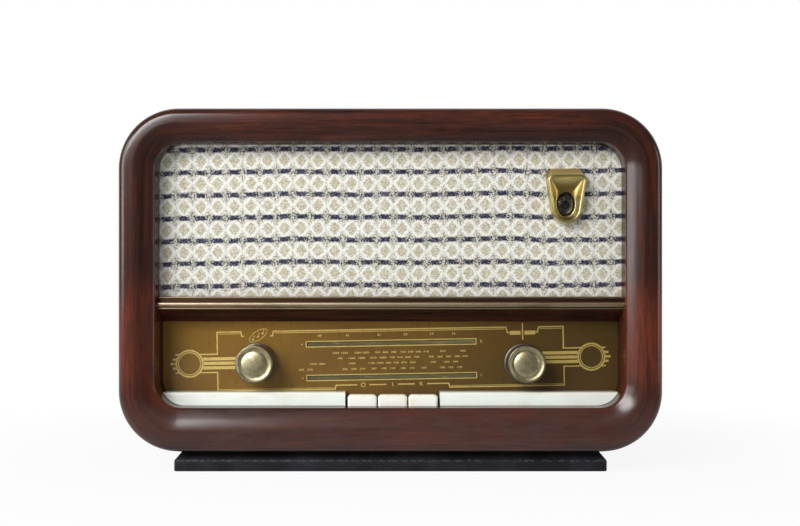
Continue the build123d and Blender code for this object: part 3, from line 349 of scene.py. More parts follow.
def mahogany(own_lane=True, coat=1.0):
    """Dark to red-brown by broad streaks, darker in the pores, with painted shade towards the
    cabinet's corners, redder in slow patches and on the sides where hands grip them. Dust and
    polish, with a painted reflection of the floor, grey the low rail."""
    wood = Finish("mahogany", Coat_Weight=coat, Coat_IOR=1.5, Specular_IOR_Level=0.0)
    lane = wood.lane() if own_lane else wood.place()
    streaks = wood.noise(wood.stretch(lane, (2.2, 55, 3)), 1.0, 5, 0.62, 0.35)
    fine = wood.noise(wood.stretch(lane, (14, 420, 9)), 1.0, 4, 0.6)
    pores = wood.noise(wood.stretch(lane, (55, 1500, 30)), 1.0, 2, 0.6)
    tone = wood.noise(wood.place(), 5.5, 3, 0.6)
    x, y, z = wood.parts(wood.place())
    mottle = wood.noise(wood.stretch(lane, (22, 85, 12)), 1.0, 3, 0.65)
    worn = (abs(z - grip_z) + (tone - 0.5) * 0.12).step(0.025, 0.085).flip() * abs(x).step(0.20, 0.235)
    worn = worn * (y - front_y).step(0.012, 0.045).flip()
    # Dust and polish on the low rail, partly a painted reflection of the white floor
    dust_and_floor_reflection = z.step(0.05, 0.085).flip() * z.step(0.022, 0.034) * (y - front_y).step(0.01, 0.03).flip()
    # Painted shade: the wood darkens towards the cabinet's four corners
    corner = abs(x).step(0.15, 0.27) * abs(z - middle_z).step(0.06, 0.165)
    colour = wood.mix(streaks.step(0.36, 0.66), (0.016, 0.0058, 0.0042), (0.072, 0.0205, 0.0125))
    colour = wood.mix(tone.step(0.48, 0.72) * 0.45, colour, (0.098, 0.023, 0.0115))
    colour = wood.mix(worn * (streaks.step(0.30, 0.62) * 0.5 + 0.35), colour, (0.155, 0.031, 0.0125))
    colour = wood.mix(mottle.step(0.44, 0.62) * 0.5, colour, (0.030, 0.0125, 0.0100))
    colour = wood.mix(mottle.step(0.46, 0.30) * 0.35, colour, (0.115, 0.026, 0.0125))
    colour = wood.mix(fine.step(0.45, 0.70) * 0.55, colour, (0.013, 0.0048, 0.0036))
    colour = wood.mix(pores.step(0.57, 0.70) * 0.55, colour, (0.007, 0.0034, 0.0028))
    # Painted shade towards the corners
    colour = wood.mix(corner * 0.6, colour, (0.012, 0.0052, 0.0042))
    colour = wood.mix(dust_and_floor_reflection * (mottle * 0.55), colour, (0.125, 0.066, 0.056))
    wood.feed("Base Color", colour)
    wood.feed("Roughness", fine * 0.25 + 0.32)
    wood.feed("Coat Roughness", fine * 0.18 + mottle * 0.12 + 0.07)
    dings = wood.noise(wood.place(), 130, 1, 0.4)
    wood.bump(dings.step(0.72, 0.80).flip() + fine * 0.12, 0.00025, 0.55)
    return wood


mahogany_wood = mahogany()
print("mahogany: four noises along the fibres")

# %% [markdown]
# ## The front frame
# The frame is one moulding that runs all round: a tight rounding outside, a soft crest, and a
# slope that falls to a crisp lip inside. Its rails have three widths, so a plain sweep can't make
# it. Here each ring of points lies between the outer outline and the lip's outline, and the
# section is a formula for the depth.

# %% Front frame
outer_radius = 60 * MM
rim_inset = 9 * MM
crest_share = 0.78
lip_low_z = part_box("filler_strip_left")[0].z - 0.3 * MM
lip_half_x = divider_high.x + 0.3 * MM
lip_high_z = lip_low_z + 265 * MM
lip_radius = 26 * MM
lip_y = front_y + 10 * MM
lip_round = 1.4 * MM
lip_back_y = lip_y + 1.2 * MM
lip_front_y = lip_back_y - lip_round
flatter = 0.98
seam_inset = 0.5 * MM


def outer(inset):
    """The cabinet's outer outline, drawn in by an inset all round."""
    return round_rect(half_width - inset, half_height - inset, outer_radius - inset, 0, middle_z)


def frame_outline(share):
    """The outline at a share of the way from the inset edge, at 1, to the lip, at 0."""
    lip = round_rect(lip_half_x, (lip_high_z - lip_low_z) / 2, lip_radius, 0,
                     (lip_high_z + lip_low_z) / 2)
    return lip + share * (outer(rim_inset) - lip)


def crown(share):
    """How far the face stands in front of the lip: a sine up to the crest, then a slight fall."""
    rise = np.sin(np.pi / 2 * np.minimum(share / crest_share, 1))
    fall = np.maximum(share - crest_share, 0) / (1 - crest_share)
    return (rise - 0.015 * fall**2) * (lip_y - front_y)


def front_frame():
    """Rings from the back of the inner wall, over lip and crest, to the back of the outer side."""
    rings = [upright(frame_outline(0), depth) for depth in (frame_back_y, lip_back_y)]
    for angle in np.linspace(0, np.pi / 2, 7)[1:]:
        share = 0.05 * (1 - math.cos(angle))
        depth = lip_back_y - math.sin(angle) * lip_round - crown(share)
        rings.append(upright(frame_outline(share), depth))
    for share in np.linspace(0.08, 1, 26):
        rings.append(upright(frame_outline(share), lip_front_y - crown(share) * flatter))
    edge_y = lip_front_y - crown(1.0) * flatter
    for angle in np.linspace(0, np.pi / 2, 12)[1:]:
        depth = edge_y + rim_inset * (1 - math.cos(angle))
        rings.append(upright(outer(rim_inset * (1 - math.sin(angle))), depth))
    rings.append(upright(outer(0), frame_back_y - seam_inset))
    rings.append(upright(outer(seam_inset), frame_back_y))
    rings = np.array(rings)
    along = walk(outer(20 * MM))
    across = np.concatenate([[0], np.cumsum(np.linalg.norm(np.diff(rings[:, 0], axis=0), axis=1))])
    grain = np.stack(np.broadcast_arrays(along[None, :], across[:, None], rings[:, :, 0]), -1)
    thing = from_rings("front_moulding", rings, grain, ring_around=True)
    keep_edges_crisp(thing, 40)
    return thing


dress(front_frame(), "cabinet", "cabinet_wood", mahogany_wood, "front_frame")

# %% [markdown]
# ## The wrap
# The cabinet behind the frame is a sheet of plywood bent into a tube, veneered outside. Rings that
# run back along the radio, out over the edge and forward again inside make the tube with its wall.

# %% Bent shell
wall = board_low.x - shell_low.x - 1 * MM


def shell():
    """Rings of the outer outline from front to back, and of the inner one back to the front."""
    edge = 1.2 * MM
    bends = (0.5, 1.0, math.pi / 2)
    steps = [(seam_inset, frame_back_y), (0.0, frame_back_y + seam_inset)]
    steps += [(0.0, depth) for depth in np.linspace(frame_back_y + 8 * MM, back_y - edge, 12)]
    steps += [(edge * (1 - math.cos(a)), back_y - edge * (1 - math.sin(a))) for a in bends]
    steps += [(wall - edge * (1 - math.sin(a)), back_y - edge * (1 - math.cos(a))) for a in bends]
    steps += [(wall, frame_back_y)]
    rings = np.array([upright(outer(inset), depth) for inset, depth in steps])
    along = walk(outer(0))
    grain = np.stack(np.broadcast_arrays(along[None, :], rings[:, :, 1] - back_y, rings[:, :, 0]), -1)
    thing = from_rings("cabinet_wrap", rings, grain, ring_around=True)
    keep_edges_crisp(thing, 50)
    return thing


wrap = dress(shell(), "cabinet", "cabinet_wood", mahogany_wood, "cabinet_shell")

# %% [markdown]
# ## Plywood where the sheet is cut
# At the back the wrap shows its cut edge: thin layers of pale and darker wood, glued crosswise.
# The layers follow the edge, so their stripes are drawn by the distance from the outer outline.
# For a rectangle with round corners that distance has a formula: how far the point lies beyond
# the corner circle's middle, along both axes at once in a corner and along one on a straight.

# %% Cut plywood edge
def plywood():
    """Stripes of pale and darker wood across the sheet, roughened by the saw."""
    ply = Finish("cut plywood", Roughness=0.75, Specular_IOR_Level=0.25)
    x, y, z = ply.parts(ply.place())
    ragged = ply.noise(ply.place(), 260, 3, 0.6)
    out_x = abs(x) - (half_width - outer_radius)
    out_z = abs(z - middle_z) - (half_height - outer_radius)
    corner_x, corner_z = out_x.math("MAXIMUM", 0.0), out_z.math("MAXIMUM", 0.0)
    reach = (corner_x * corner_x + corner_z * corner_z).math("SQRT")
    inset = reach + out_x.math("MAXIMUM", out_z).math("MINIMUM", 0.0)
    layers = (inset + ragged * 0.8 * MM).sine(3.1 * MM)
    colour = ply.mix(layers.step(-0.4, 0.4), (0.16, 0.085, 0.045), (0.40, 0.27, 0.155))
    ply.feed("Base Color", ply.mix(ragged.step(0.5, 0.8) * 0.5, colour, (0.09, 0.05, 0.03)))
    ply.bump(ragged + layers * 0.2, 0.0004, 0.6)
    return ply


cut_plywood = plywood()
wrap.data.materials.append(cut_plywood.material)
centres = np.zeros(len(wrap.data.polygons) * 3)
wrap.data.polygons.foreach_get("center", centres)
cut = (centres.reshape(-1, 3)[:, 1] > back_y - 0.9 * MM).astype(np.int32)
wrap.data.polygons.foreach_set("material_index", cut)
print("cut faces:", int(cut.sum()))

# %% [markdown]
# ## The base board
# The radio stands on a black board with a wide bevel round its top. Its paint has worn through a
# little where hands and shelves rub: along the two edges of the bevel. Rings from the floor up
# make it, and the wear is noise that shows only near those two heights.

# %% Base board
bevel_low_z = 10.7 * MM
bevel_high_z = 20.7 * MM


def level(outline, height):
    """An outline drawn in X and Y, set at one height."""
    return np.stack([outline[:, 0], outline[:, 1], np.full(len(outline), height)], 1)


def base_board():
    """Rings from the floor up: an upright side, then a slope in to the top."""
    half_x = plinth_high.x
    half_y = (plinth_high.y - plinth_low.y) / 2
    mid_y = (plinth_high.y + plinth_low.y) / 2
    section = np.array([(0.9, 0.0), (0.25, 0.25), (0, 0.9), (0, 9.7), (0.15, 10.5), (0.6, 11.3),
                        (7.4, 19.9), (8.1, 20.6), (9.2, 21.0)]) * MM
    rings = [level(round_rect(half_x - inset, half_y - inset, 3 * MM, 0, mid_y), height)
             for inset, height in section]
    thing = from_rings("base_board", rings)
    keep_edges_crisp(thing, 50)
    return thing


def black_paint():
    """Near black, dusty in patches, greyer along the lower and the upper edge of the bevel."""
    paint = Finish("black paint", Specular_IOR_Level=0.25)
    z = paint.parts(paint.place())[2]
    dust = paint.noise(paint.place(), 28, 5, 0.65)
    chips = paint.noise(paint.place(), 330, 3, 0.6)
    low_edge = abs(z - bevel_low_z).step(0.0, 1.8 * MM).flip()
    high_edge = abs(z - bevel_high_z).step(0.0, 1.3 * MM).flip()
    colour = paint.mix(dust.step(0.4, 0.75), (0.0060, 0.0062, 0.0100), (0.0170, 0.0178, 0.0250))
    worn = (low_edge + high_edge) * chips.step(0.45, 0.62) * 0.7
    colour = paint.mix(worn, colour, (0.065, 0.060, 0.062))
    paint.feed("Base Color", colour)
    paint.feed("Roughness", dust * 0.35 + 0.34)
    paint.bump(chips, 0.0002, 0.5)
    return paint


dress(base_board(), "cabinet", "base_wood", black_paint(), "plinth")

# %% [markdown]
# ## The brass moulding
# Between cloth and dial runs a drawn brass strip: a fat bead between two thin ones, with flat
# grooves that have gone dark. A section swept along X makes it, and the tarnish is drawn by the
# depth: the deeper a point lies under the bead's crest, the darker it is. The same depth darkens
# the thin beads as painted shade.

# %% Brass moulding
def bead(height, radius, base_y, steps=14):
    """A half circle in Y and Z that stands out to the front of base_y."""
    angle = np.linspace(-np.pi / 2, np.pi / 2, steps)
    return np.stack([base_y - radius * np.cos(angle), height + radius * np.sin(angle)], 1)


def swept(name, section, low_x, high_x, spans=60):
    """A closed section of (Y, Z) points carried along X."""
    places = np.linspace(low_x, high_x, spans + 1)
    section = np.asarray(section, float)
    rings = np.zeros((len(places), len(section), 3))
    rings[:, :, 0] = places[:, None]
    rings[:, :, 1:] = section[None]
    return from_rings(name, rings)


trim_low, trim_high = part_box("brass_trim")
strip_y = trim_high.y - 1.5 * MM
thin, fat = 1.1 * MM, 2.79 * MM
beads = [bead(trim_low.z + thin, thin, strip_y), bead(trim_low.z + 5.1 * MM, fat, strip_y, 24),
         bead(trim_high.z - thin, thin, strip_y)]
section = np.concatenate([[(trim_high.y, trim_low.z)], *beads, [(trim_high.y, trim_high.z)]])
moulding = swept("brass_moulding", section, trim_low.x, trim_high.x)
keep_edges_crisp(moulding, 40)


def brass(name, bright, dark, roughness=0.3):
    """Brass that is bright where it is rubbed and brown in slow patches and fine specks."""
    metal = Finish(name, Metallic=1.0)
    patches = metal.noise(metal.stretch(metal.place(), (0.4, 1, 1)), 45, 5, 0.65)
    specks = metal.noise(metal.place(), 700, 2, 0.5)
    colour = metal.mix(patches.step(0.38, 0.72) * 0.8, bright, dark)
    metal.feed("Base Color", metal.mix(specks.step(0.6, 0.75) * 0.6, colour, dark))
    metal.feed("Roughness", patches * 0.3 + roughness)
    metal.bump(specks, 0.00006, 0.4)
    return metal


def moulding_brass():
    """As brass, with dark grooves and painted shade on the thin beads: y is least on the crests."""
    metal = brass("moulding brass", (0.58, 0.46, 0.30), (0.26, 0.18, 0.105), 0.30)
    y = metal.parts(metal.place())[1]
    # Tarnish in the grooves, and painted shade on the two thin beads that lie nearly as deep
    tarnish_and_shade = (y - (strip_y - 1.9 * MM)).step(0.0, 1.7 * MM)
    metal.feed("Base Color", metal.mix(tarnish_and_shade, metal.colour_so_far(), (0.085, 0.045, 0.027)))
    return metal


dress(moulding, "cabinet", "brass", moulding_brass(), "brass_trim")

# %% [markdown]
# ## Turned metal knobs
# Each knob is spun aluminium with a yellow lacquer: a thin skirt, a straight side, a dished ring
# and a domed cap. A turned shape is one profile carried round an axis. The piece keeps its radius,
# its depth and the sine of its angle as an attribute, so that the fine lathe grooves in its finish
# run round it.

# %% Turning on a lathe
def turned(name, profile, centre_x, centre_z, steps=96, closed=True):
    """Rings about an axis along Y: each profile point (radius, y) becomes the circle
    x = middle + radius cos(angle), z = middle + radius sin(angle)."""
    profile = np.asarray(profile, float)
    angle = np.linspace(0, 2 * np.pi, steps, endpoint=False)
    radius, depth = profile[:, :1], profile[:, 1:]
    rings = np.stack(np.broadcast_arrays(centre_x + radius * np.cos(angle), depth,
                                         centre_z + radius * np.sin(angle)), -1)
    lane = np.stack(np.broadcast_arrays(radius * np.ones(steps), depth, np.sin(angle)), -1)
    return from_rings(name, rings, lane, ring_around=closed, caps=False)


def curve_through(*points, steps=8):
    """A bend from the first point to the last, pulled to the middle one: the sum of (1 - t)^2
    times the first, 2 t (1 - t) times the middle and t^2 times the last."""
    first, middle, last = (np.array(point, float) for point in points)
    t = np.linspace(0, 1, steps)[:, None]
    return (1 - t) ** 2 * first + 2 * t * (1 - t) * middle + t**2 * last


def spun_metal(name, bright, dark):
    """Pale lacquered metal with lathe grooves round the axis, scratches across them and painted
    shade on the outer edge."""
    metal = Finish(name, Metallic=1.0)
    radius = metal.parts(metal.lane())[0]
    grooves = metal.noise(metal.stretch(metal.lane(), (1, 1, 0.0004)), 2600, 2, 0.5)
    stains = metal.noise(metal.place(), 210, 4, 0.6)
    scratches = metal.noise(metal.stretch(metal.place(), (0.25, 1, 1.6)), 900, 2, 0.5, 0.6)
    colour = metal.mix(stains.step(0.35, 0.7), bright, dark)
    colour = metal.mix(scratches.step(0.6, 0.72) * 0.5, colour, (0.75, 0.68, 0.52))
    colour = metal.mix(grooves.step(0.5, 0.7) * 0.25, colour, (0.16, 0.13, 0.08))
    # Painted shade: the outer edge and the skirt are darkened to a grey-violet
    metal.feed("Base Color", metal.mix(radius.step(0.0172, 0.0188) * 0.8, colour, (0.105, 0.09, 0.092)))
    metal.feed("Roughness", stains * 0.22 + 0.31)
    metal.bump(grooves, 0.00008, 0.6)
    metal.bump(scratches, 0.00006, 0.35)
    return metal


knob_finish = spun_metal("knob metal", (0.68, 0.61, 0.39), (0.42, 0.36, 0.18))
bore, cap_seat, knob_side, skirt = 3.02 * MM, 13.0 * MM, 19.2 * MM, 20.2 * MM
for side in ("volume", "tuning"):
    low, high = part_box(f"{side}_knob")
    centre_x = (low.x + high.x) / 2
    centre_z = (low.z + high.z) / 2
    cap_low, cap_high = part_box(f"{side}_knob_cap")
    face_y = low.y
    back = high.y
    knob_profile = np.concatenate([
        [(bore, back), (skirt, back)],
        curve_through((skirt, back - 2.2 * MM), (skirt, back - 3 * MM),
                      (knob_side + 0.2 * MM, back - 3 * MM), steps=4),
        [(knob_side, back - 3.1 * MM), (knob_side, face_y + 1.8 * MM)],
        curve_through((knob_side, face_y + 1.5 * MM), (knob_side, face_y), (17.8 * MM, face_y), steps=9),
        curve_through((17.2 * MM, face_y), (16.2 * MM, face_y + 1.5 * MM),
                      (cap_seat + 0.2 * MM, face_y + 1.6 * MM), steps=9),
        [(cap_seat, face_y + 1.9 * MM), (cap_seat, cap_high.y), (bore, cap_high.y)],
    ])
    knob = turned(f"{side}_knob_turned", knob_profile, centre_x, centre_z)
    keep_edges_crisp(knob, 40)
    dress(knob, side, "knob_metal", knob_finish, f"{side}_knob")
    cap_profile = np.concatenate([
        [(0, cap_high.y), (12.98 * MM, cap_high.y), (12.98 * MM, face_y + 1.7 * MM)],
        curve_through((12.9 * MM, face_y + 1.2 * MM), (9.5 * MM, cap_low.y), (0, cap_low.y), steps=18),
    ])
    cap = turned(f"{side}_cap_turned", cap_profile, centre_x, centre_z, closed=False)
    keep_edges_crisp(cap, 40)
    dress(cap, side, "knob_metal", knob_finish, f"{side}_knob_cap")

# %% [markdown]
# ## The bezel of the tuning eye
# A pressed brass hood frames the tube: wide at the top, round at the bottom, with a rolled rim and
# a hollow that leads to the hole. Its outline is the hull of two small circles above and a big one
# below. The rings grow and shrink that outline, and in the hollow they change over to an oval.

# %% Outline of the hood
hood_x = (bezel_low.x + bezel_high.x) / 2
foot_z = bezel_low.z + 14 * MM
hole_z = foot_z + 5 * MM
hood_bend = 5 * MM


def respaced(outline, count=144):
    """The same closed outline with its points at equal distances, found along its length."""
    closed = np.concatenate([outline, outline[:1]])
    length = np.concatenate([[0], np.cumsum(np.linalg.norm(np.diff(closed, axis=0), axis=1))])
    wanted = np.linspace(0, length[-1], count, endpoint=False)
    return np.stack([np.interp(wanted, length, closed[:, axis]) for axis in (0, 1)], 1)


def hood(inset=0.0, side=0.0, top=0.0, bend=hood_bend):
    """The hull of two corner circles and a foot circle, drawn in by an inset and grown by a side
    and a top. The straight from the foot to a corner touches both circles where their normals
    agree: the cosine of the angle between that normal and the line of centres is the difference
    of the radii over the distance."""
    corner = np.array([18.5 * MM + side - bend, 33.5 * MM + top - bend])
    corner_radius = bend - inset
    foot_radius = 13.7 * MM + side - inset
    distance = np.hypot(*corner)
    touch = np.arctan2(corner[1], corner[0]) - np.arccos((foot_radius - corner_radius) / distance)
    low = np.linspace(-np.pi / 2, touch, 30)
    high = np.linspace(touch, np.pi / 2, 14)
    right = np.concatenate([
        foot_radius * np.stack([np.cos(low), np.sin(low)], 1),
        corner + corner_radius * np.stack([np.cos(high), np.sin(high)], 1),
    ])
    return respaced(np.concatenate([right, right[::-1][:-1] * (-1, 1)])) + (hood_x, foot_z)


def oval(outline, half_x, half_z):
    """An oval round the hole's middle, with each point in the direction of the outline's point."""
    way = outline - (hood_x, hole_z)
    angle = np.arctan2(way[:, 1], way[:, 0])
    return np.stack([hood_x + half_x * np.cos(angle), hole_z + half_z * np.sin(angle)], 1)


print("hood outline:", len(hood()), "points")

# %% The hood's surface
def eye_hood():
    """Rings from the hole's back edge out through the hollow, over the rolled rim and a thin bead
    and down the outside. In the hollow the share s runs from the hole at 0 to the mouth at 1: the
    outline is the oval plus s times the way to the mouth, and the depth rises steeply near the
    mouth."""
    mouth = hood(2.0 * MM)
    hole = oval(mouth, 9.6 * MM, 12.6 * MM)
    rim_y = bezel_low.y
    rim_bend = 1.2 * MM
    floor_y = bezel_high.y - 3 * MM
    bead_y = rim_y + 0.75 * MM
    bead_radius = 0.6 * MM
    rings = [upright(hole, bezel_high.y), upright(hole, floor_y + 0.3 * MM)]
    for share in np.linspace(0, 1, 16):
        outline = hole + share * (mouth - hole)
        rings.append(upright(outline, floor_y + (rim_y + rim_bend - floor_y) * share**1.7))
    for angle in np.linspace(0, 0.85 * np.pi, 9)[1:]:
        outline = hood(0.9 * MM + 1.1 * MM * math.cos(angle))
        rings.append(upright(outline, rim_y + rim_bend * (1 - math.sin(angle))))
    for angle in np.linspace(0.2 * np.pi, np.pi, 7):
        outline = hood(-0.45 * MM + bead_radius * math.cos(angle), 0, -0.4 * MM)
        rings.append(upright(outline, bead_y + bead_radius * (1 - math.sin(angle))))
    flank_y = bead_y + bead_radius
    for share in np.linspace(0, 1, 9)[1:]:
        left = 1 - share
        outline = hood(-1.05 * MM * left, 1.5 * MM * share, (8 * share - 0.4 * left) * MM,
                       hood_bend + 3.5 * MM * share)
        rings.append(upright(outline, flank_y + (bezel_high.y - flank_y) * share))
    thing = from_rings("eye_hood", rings, ring_around=True)
    keep_edges_crisp(thing, 50)
    return thing


def hood_brass():
    """Olive brass, with an amber glow of old lacquer in the hollow above the hole's middle."""
    metal = brass("hood brass", (0.68, 0.585, 0.26), (0.38, 0.305, 0.115), 0.24)
    x, y, z = metal.parts(metal.place())
    hollow = (y - (bezel_low.y + 3 * MM)).step(0.0, 5 * MM)
    high = (z - (hole_z + 8 * MM)).step(-2 * MM, 4 * MM)
    metal.feed("Base Color", metal.mix(hollow * high * 0.7, metal.colour_so_far(), (0.47, 0.27, 0.05)))
    return metal


dress(eye_hood(), "cabinet", "bezel_metal", hood_brass(), "eye_bezel")

# %% [markdown]
# ## The tuning eye
# The tube looks out of the hood with a domed glass end. Behind the glass sit a dark cap and a
# fluorescent target that is nearly black while the radio is off. One turned shape makes the bulb,
# and the target is drawn by the angle and the radius inside a clear coat.

# %% Tuning eye
eye_low, eye_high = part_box("eye_tube")
eye_radius = (eye_high.x - eye_low.x) / 2
eye_mid_x = (eye_high.x + eye_low.x) / 2
eye_mid_z = (eye_high.z + eye_low.z) / 2
eye_profile = np.concatenate([
    [(0, eye_high.y), (eye_radius * 0.8, eye_high.y)],
    curve_through((eye_radius * 0.85, eye_high.y), (eye_radius, eye_high.y),
                  (eye_radius, eye_high.y - 3 * MM)),
    [(eye_radius, eye_low.y + 6 * MM)],
    curve_through((eye_radius, eye_low.y + 4.5 * MM), (eye_radius * 0.98, eye_low.y),
                  (0, eye_low.y), steps=22),
])
eye = turned("eye_glass", eye_profile, eye_mid_x, eye_mid_z, 64, closed=False)


def eye_glass():
    """A dark target with faint spokes and a cap, under a clear coat. Lighter reddish lumps are painted
    glints.
    """
    glass = Finish("eye glass", Coat_Weight=1.0, Coat_Roughness=0.03, Specular_IOR_Level=0.6)
    radius = glass.parts(glass.lane())[0]
    x, y, z = glass.parts(glass.place())
    spokes = ((x - eye_mid_x) / ((z - eye_mid_z) + 31 * MM) * 6.0).sine(0.16) * 0.5 + 0.5
    mottle = glass.noise(glass.place(), 420, 3, 0.6)
    target = (radius - 4.2 * MM).step(-0.4 * MM, 0.4 * MM)
    # Painted glints: lighter reddish lumps in the dark glass
    colour = glass.mix(mottle.step(0.4, 0.7), (0.012, 0.009, 0.010), (0.075, 0.055, 0.050))
    colour = glass.mix(target * spokes * 0.4, colour, (0.035, 0.055, 0.035))
    glass.feed("Base Color", glass.mix(target.flip() * 0.8, colour, (0.006, 0.005, 0.005)))
    glass.feed("Roughness", mottle * 0.3 + 0.1)
    glass.bump(mottle, 0.0006, 0.4)
    return glass


dress(eye, "cabinet", "tube_glass", eye_glass(), "eye_tube")

# %% [markdown]
# ## The grille cloth
# The cloth is stretched flat over the speaker board. Its pattern is woven: columns of beige
# diamonds in a white lattice, with a row of short navy dashes between one row of diamonds and the
# next. A pattern that repeats needs only the place inside its cell. The distance from the cell's
# middle, measured as |u| / a + |v| / b, is a diamond, and a power a little over one on both parts
# rounds its corners. Slow noise shifts the rows a little, as the real threads wander. The mesh
# itself ripples by a tenth of a millimetre.

# %% Woven cloth
cloth_low, cloth_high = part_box("grille_cloth")
cloth_corner = 42.7 * MM
column_pitch = 17.01 * MM
row_pitch = 23.0 * MM
column_x = -209.7 * MM
dash_row_z = 186.9 * MM
row_slope = 0.0045
diamond_power = 1.15
hole_half_x = 10.8 * MM
hole_half_z = 13.8 * MM


def cloth_sheet(columns=258, rows=92):
    """A grid over the board: y = the middle of the sheet plus small sine waves. Near the top its
    rows are shorter, by half the width = straight + sqrt(radius^2 - climb^2). The faces near the
    tube's hole are left out: those with (x / half width)^2 + (z / half height)^2 < 1."""
    x, z = np.meshgrid(np.linspace(cloth_low.x, cloth_high.x, columns),
                       np.linspace(cloth_low.z, cloth_high.z, rows))
    climb = np.maximum(z - (cloth_high.z - cloth_corner), 0)
    x = x * (cloth_high.x - cloth_corner + np.sqrt(cloth_corner**2 - climb**2)) / cloth_high.x
    ripple = np.sin(x * 61) * np.sin(z * 83 + 1) + 0.6 * np.sin(x * 23 + z * 37)
    y = (cloth_low.y + cloth_high.y) / 2 - 0.1 * MM + 0.11 * MM * ripple
    points = np.stack([x, y, z], -1).reshape(-1, 3)
    faces = np.array(quads(rows, columns, wrap_columns=False))
    middle = points[faces].mean(1)
    out_x = (middle[:, 0] - hood_x) / hole_half_x
    out_z = (middle[:, 2] - hole_z) / hole_half_z
    return add_mesh("woven_cloth", points, faces[out_x**2 + out_z**2 > 1].tolist())


def woven():
    """Diamonds, lattice and dashes by the place in the cell, with the threads drawn over them."""
    cloth = Finish("grille weave", Roughness=0.9, Specular_IOR_Level=0.15, Sheen_Weight=0.12)
    x, y, z = cloth.parts(cloth.place())
    wander = cloth.noise(cloth.stretch(cloth.place(), (1, 0, 0.25)), 11, 2, 0.5) - 0.5
    fuzz = cloth.noise(cloth.place(), 560, 2, 0.6)
    speck = cloth.noise(cloth.place(), 700, 1, 0.5)
    weft = z.sine(1.25 * MM)
    warp = x.sine(1.05 * MM)
    column = ((x - column_x + (fuzz - 0.5) * 2.4 * MM) / column_pitch).cell()
    height = z - dash_row_z - x * row_slope + wander * 8 * MM
    row = ((height + (fuzz - 0.5) * 1.8 * MM) / row_pitch).cell()
    across, up = abs(column), abs(row)
    up_from_mid = up * -1 + 0.5
    diamond = (across / 0.31).math("POWER", diamond_power)
    diamond = diamond + (up_from_mid / 0.275).math("POWER", diamond_power)
    knot = (across * -1 + 0.5) / 0.24 + up / 0.36
    ground = cloth.mix(speck.step(0.38, 0.62), (0.37, 0.36, 0.30), (0.66, 0.65, 0.585))
    lattice = diamond.step(0.95, 1.2) * diamond.step(1.6, 2.1).flip()
    colour = cloth.mix(lattice * (speck.step(0.36, 0.5) * 0.35 + 0.5), ground, (0.75, 0.75, 0.69))
    beige = cloth.mix(speck.step(0.40, 0.60), (0.385, 0.345, 0.25), (0.575, 0.535, 0.42))
    colour = cloth.mix(diamond.step(0.75, 1.2).flip() * 0.95, colour, beige)
    grey = cloth.mix(speck.step(0.41, 0.59), (0.18, 0.17, 0.14), (0.59, 0.56, 0.48))
    colour = cloth.mix(knot.step(0.7, 1.2).flip() * 0.8, colour, grey)
    ends = across.step(0.38, 0.5).flip() * up.step(0.08, 0.15).flip()
    pepper = cloth.mix(speck.step(0.45, 0.57), (0.026, 0.028, 0.045), (0.46, 0.445, 0.40))
    colour = cloth.mix(ends * 0.95, colour, pepper)
    core = (across + (fuzz - 0.5) * 0.25).step(0.17, 0.33).flip() * up.step(0.065, 0.12).flip()
    navy = cloth.mix(speck.step(0.50, 0.62) * 0.45, (0.016, 0.018, 0.040), (0.19, 0.195, 0.245))
    cloth.feed("Base Color", cloth.mix(core * 0.97, colour, navy))
    cloth.bump(weft * 0.5 + warp * 0.35 + fuzz * 1.2, 0.00028, 0.55)
    return cloth


cloth_piece = dress(cloth_sheet(), "cabinet", "cloth", woven(), "grille_cloth")

# %% [markdown]
# ## The dial plate
# The dial is a sheet of glass, painted brown on its back, with two long slots left clear so that
# the pointer shows. Looked at from the front, only the paint counts. So the plate is one solid
# with the slots cut through, made from a flat curve: its outline, the two slots and the holes for
# the knobs' shafts. Blender fills such a curve and leaves its inner loops open. The print is
# slightly turned on the real radio, by about one degree, and so are the slots.

# %% Places on the dial
dial_middle_z = 109.5 * MM
dial_turn = math.radians(1.02)
shaft_x = (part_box("tuning_knob")[0].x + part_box("tuning_knob")[1].x) / 2
shaft_z = (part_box("tuning_knob")[0].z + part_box("tuning_knob")[1].z) / 2


def on_dial(points, depth):
    """Print places (u to the right, v up, in mm) turned by the print's slant: x = u cos - v sin,
    z = u sin + v cos, both from the dial's middle, with each point at its own depth y."""
    u, v = np.asarray(points, float).T * MM
    x = u * math.cos(dial_turn) - v * math.sin(dial_turn)
    z = u * math.sin(dial_turn) + v * math.cos(dial_turn) + dial_middle_z
    return np.stack([x, np.broadcast_to(depth, x.shape), z], 1)


def circle(mid, radius, count=48):
    """Points at equal angles round a middle."""
    angle = np.linspace(0, 2 * np.pi, count, endpoint=False)
    return np.stack([mid[0] + radius * np.cos(angle), mid[1] + radius * np.sin(angle)], 1)


def filled(drawing):
    """The points and the faces that Blender makes of a flat curve or of a text."""
    holder = bpy.data.objects.new(drawing.name, drawing)
    mesh = bpy.data.meshes.new_from_object(holder)
    bpy.data.objects.remove(holder)
    points = np.zeros(len(mesh.vertices) * 3)
    mesh.vertices.foreach_get("co", points)
    faces = [list(face.vertices) for face in mesh.polygons]
    bpy.data.meshes.remove(mesh)
    return points.reshape(-1, 3), faces


def cut_plate(name, loops, front, back):
    """A plate with the first loop as its outline and the other loops cut out, upright in X and Z.
    The flat curve lies in X and Y, so its Y becomes the height and its Z the depth."""
    drawing = bpy.data.curves.new(name, "CURVE")
    drawing.dimensions = "2D"
    drawing.fill_mode = "BOTH"
    drawing.extrude = (back - front) / 2
    for loop in loops:
        spline = drawing.splines.new("POLY")
        spline.points.add(len(loop) - 1)
        flat = np.zeros((len(loop), 4))
        flat[:, :2] = loop
        flat[:, 3] = 1
        spline.points.foreach_set("co", flat.ravel())
        spline.use_cyclic_u = True
    spots, faces = filled(drawing)
    x, height, depth = spots.T
    thing = add_mesh(name, np.stack([x, (front + back) / 2 - depth, height], 1), faces)
    keep_edges_crisp(thing, 20)
    return thing


slots = [(-86.2, 15.5, 88.2, 20.3), (-86.2, -19.3, 88.2, -14.5)]
print("dial turned by", round(math.degrees(dial_turn), 2), "degrees")

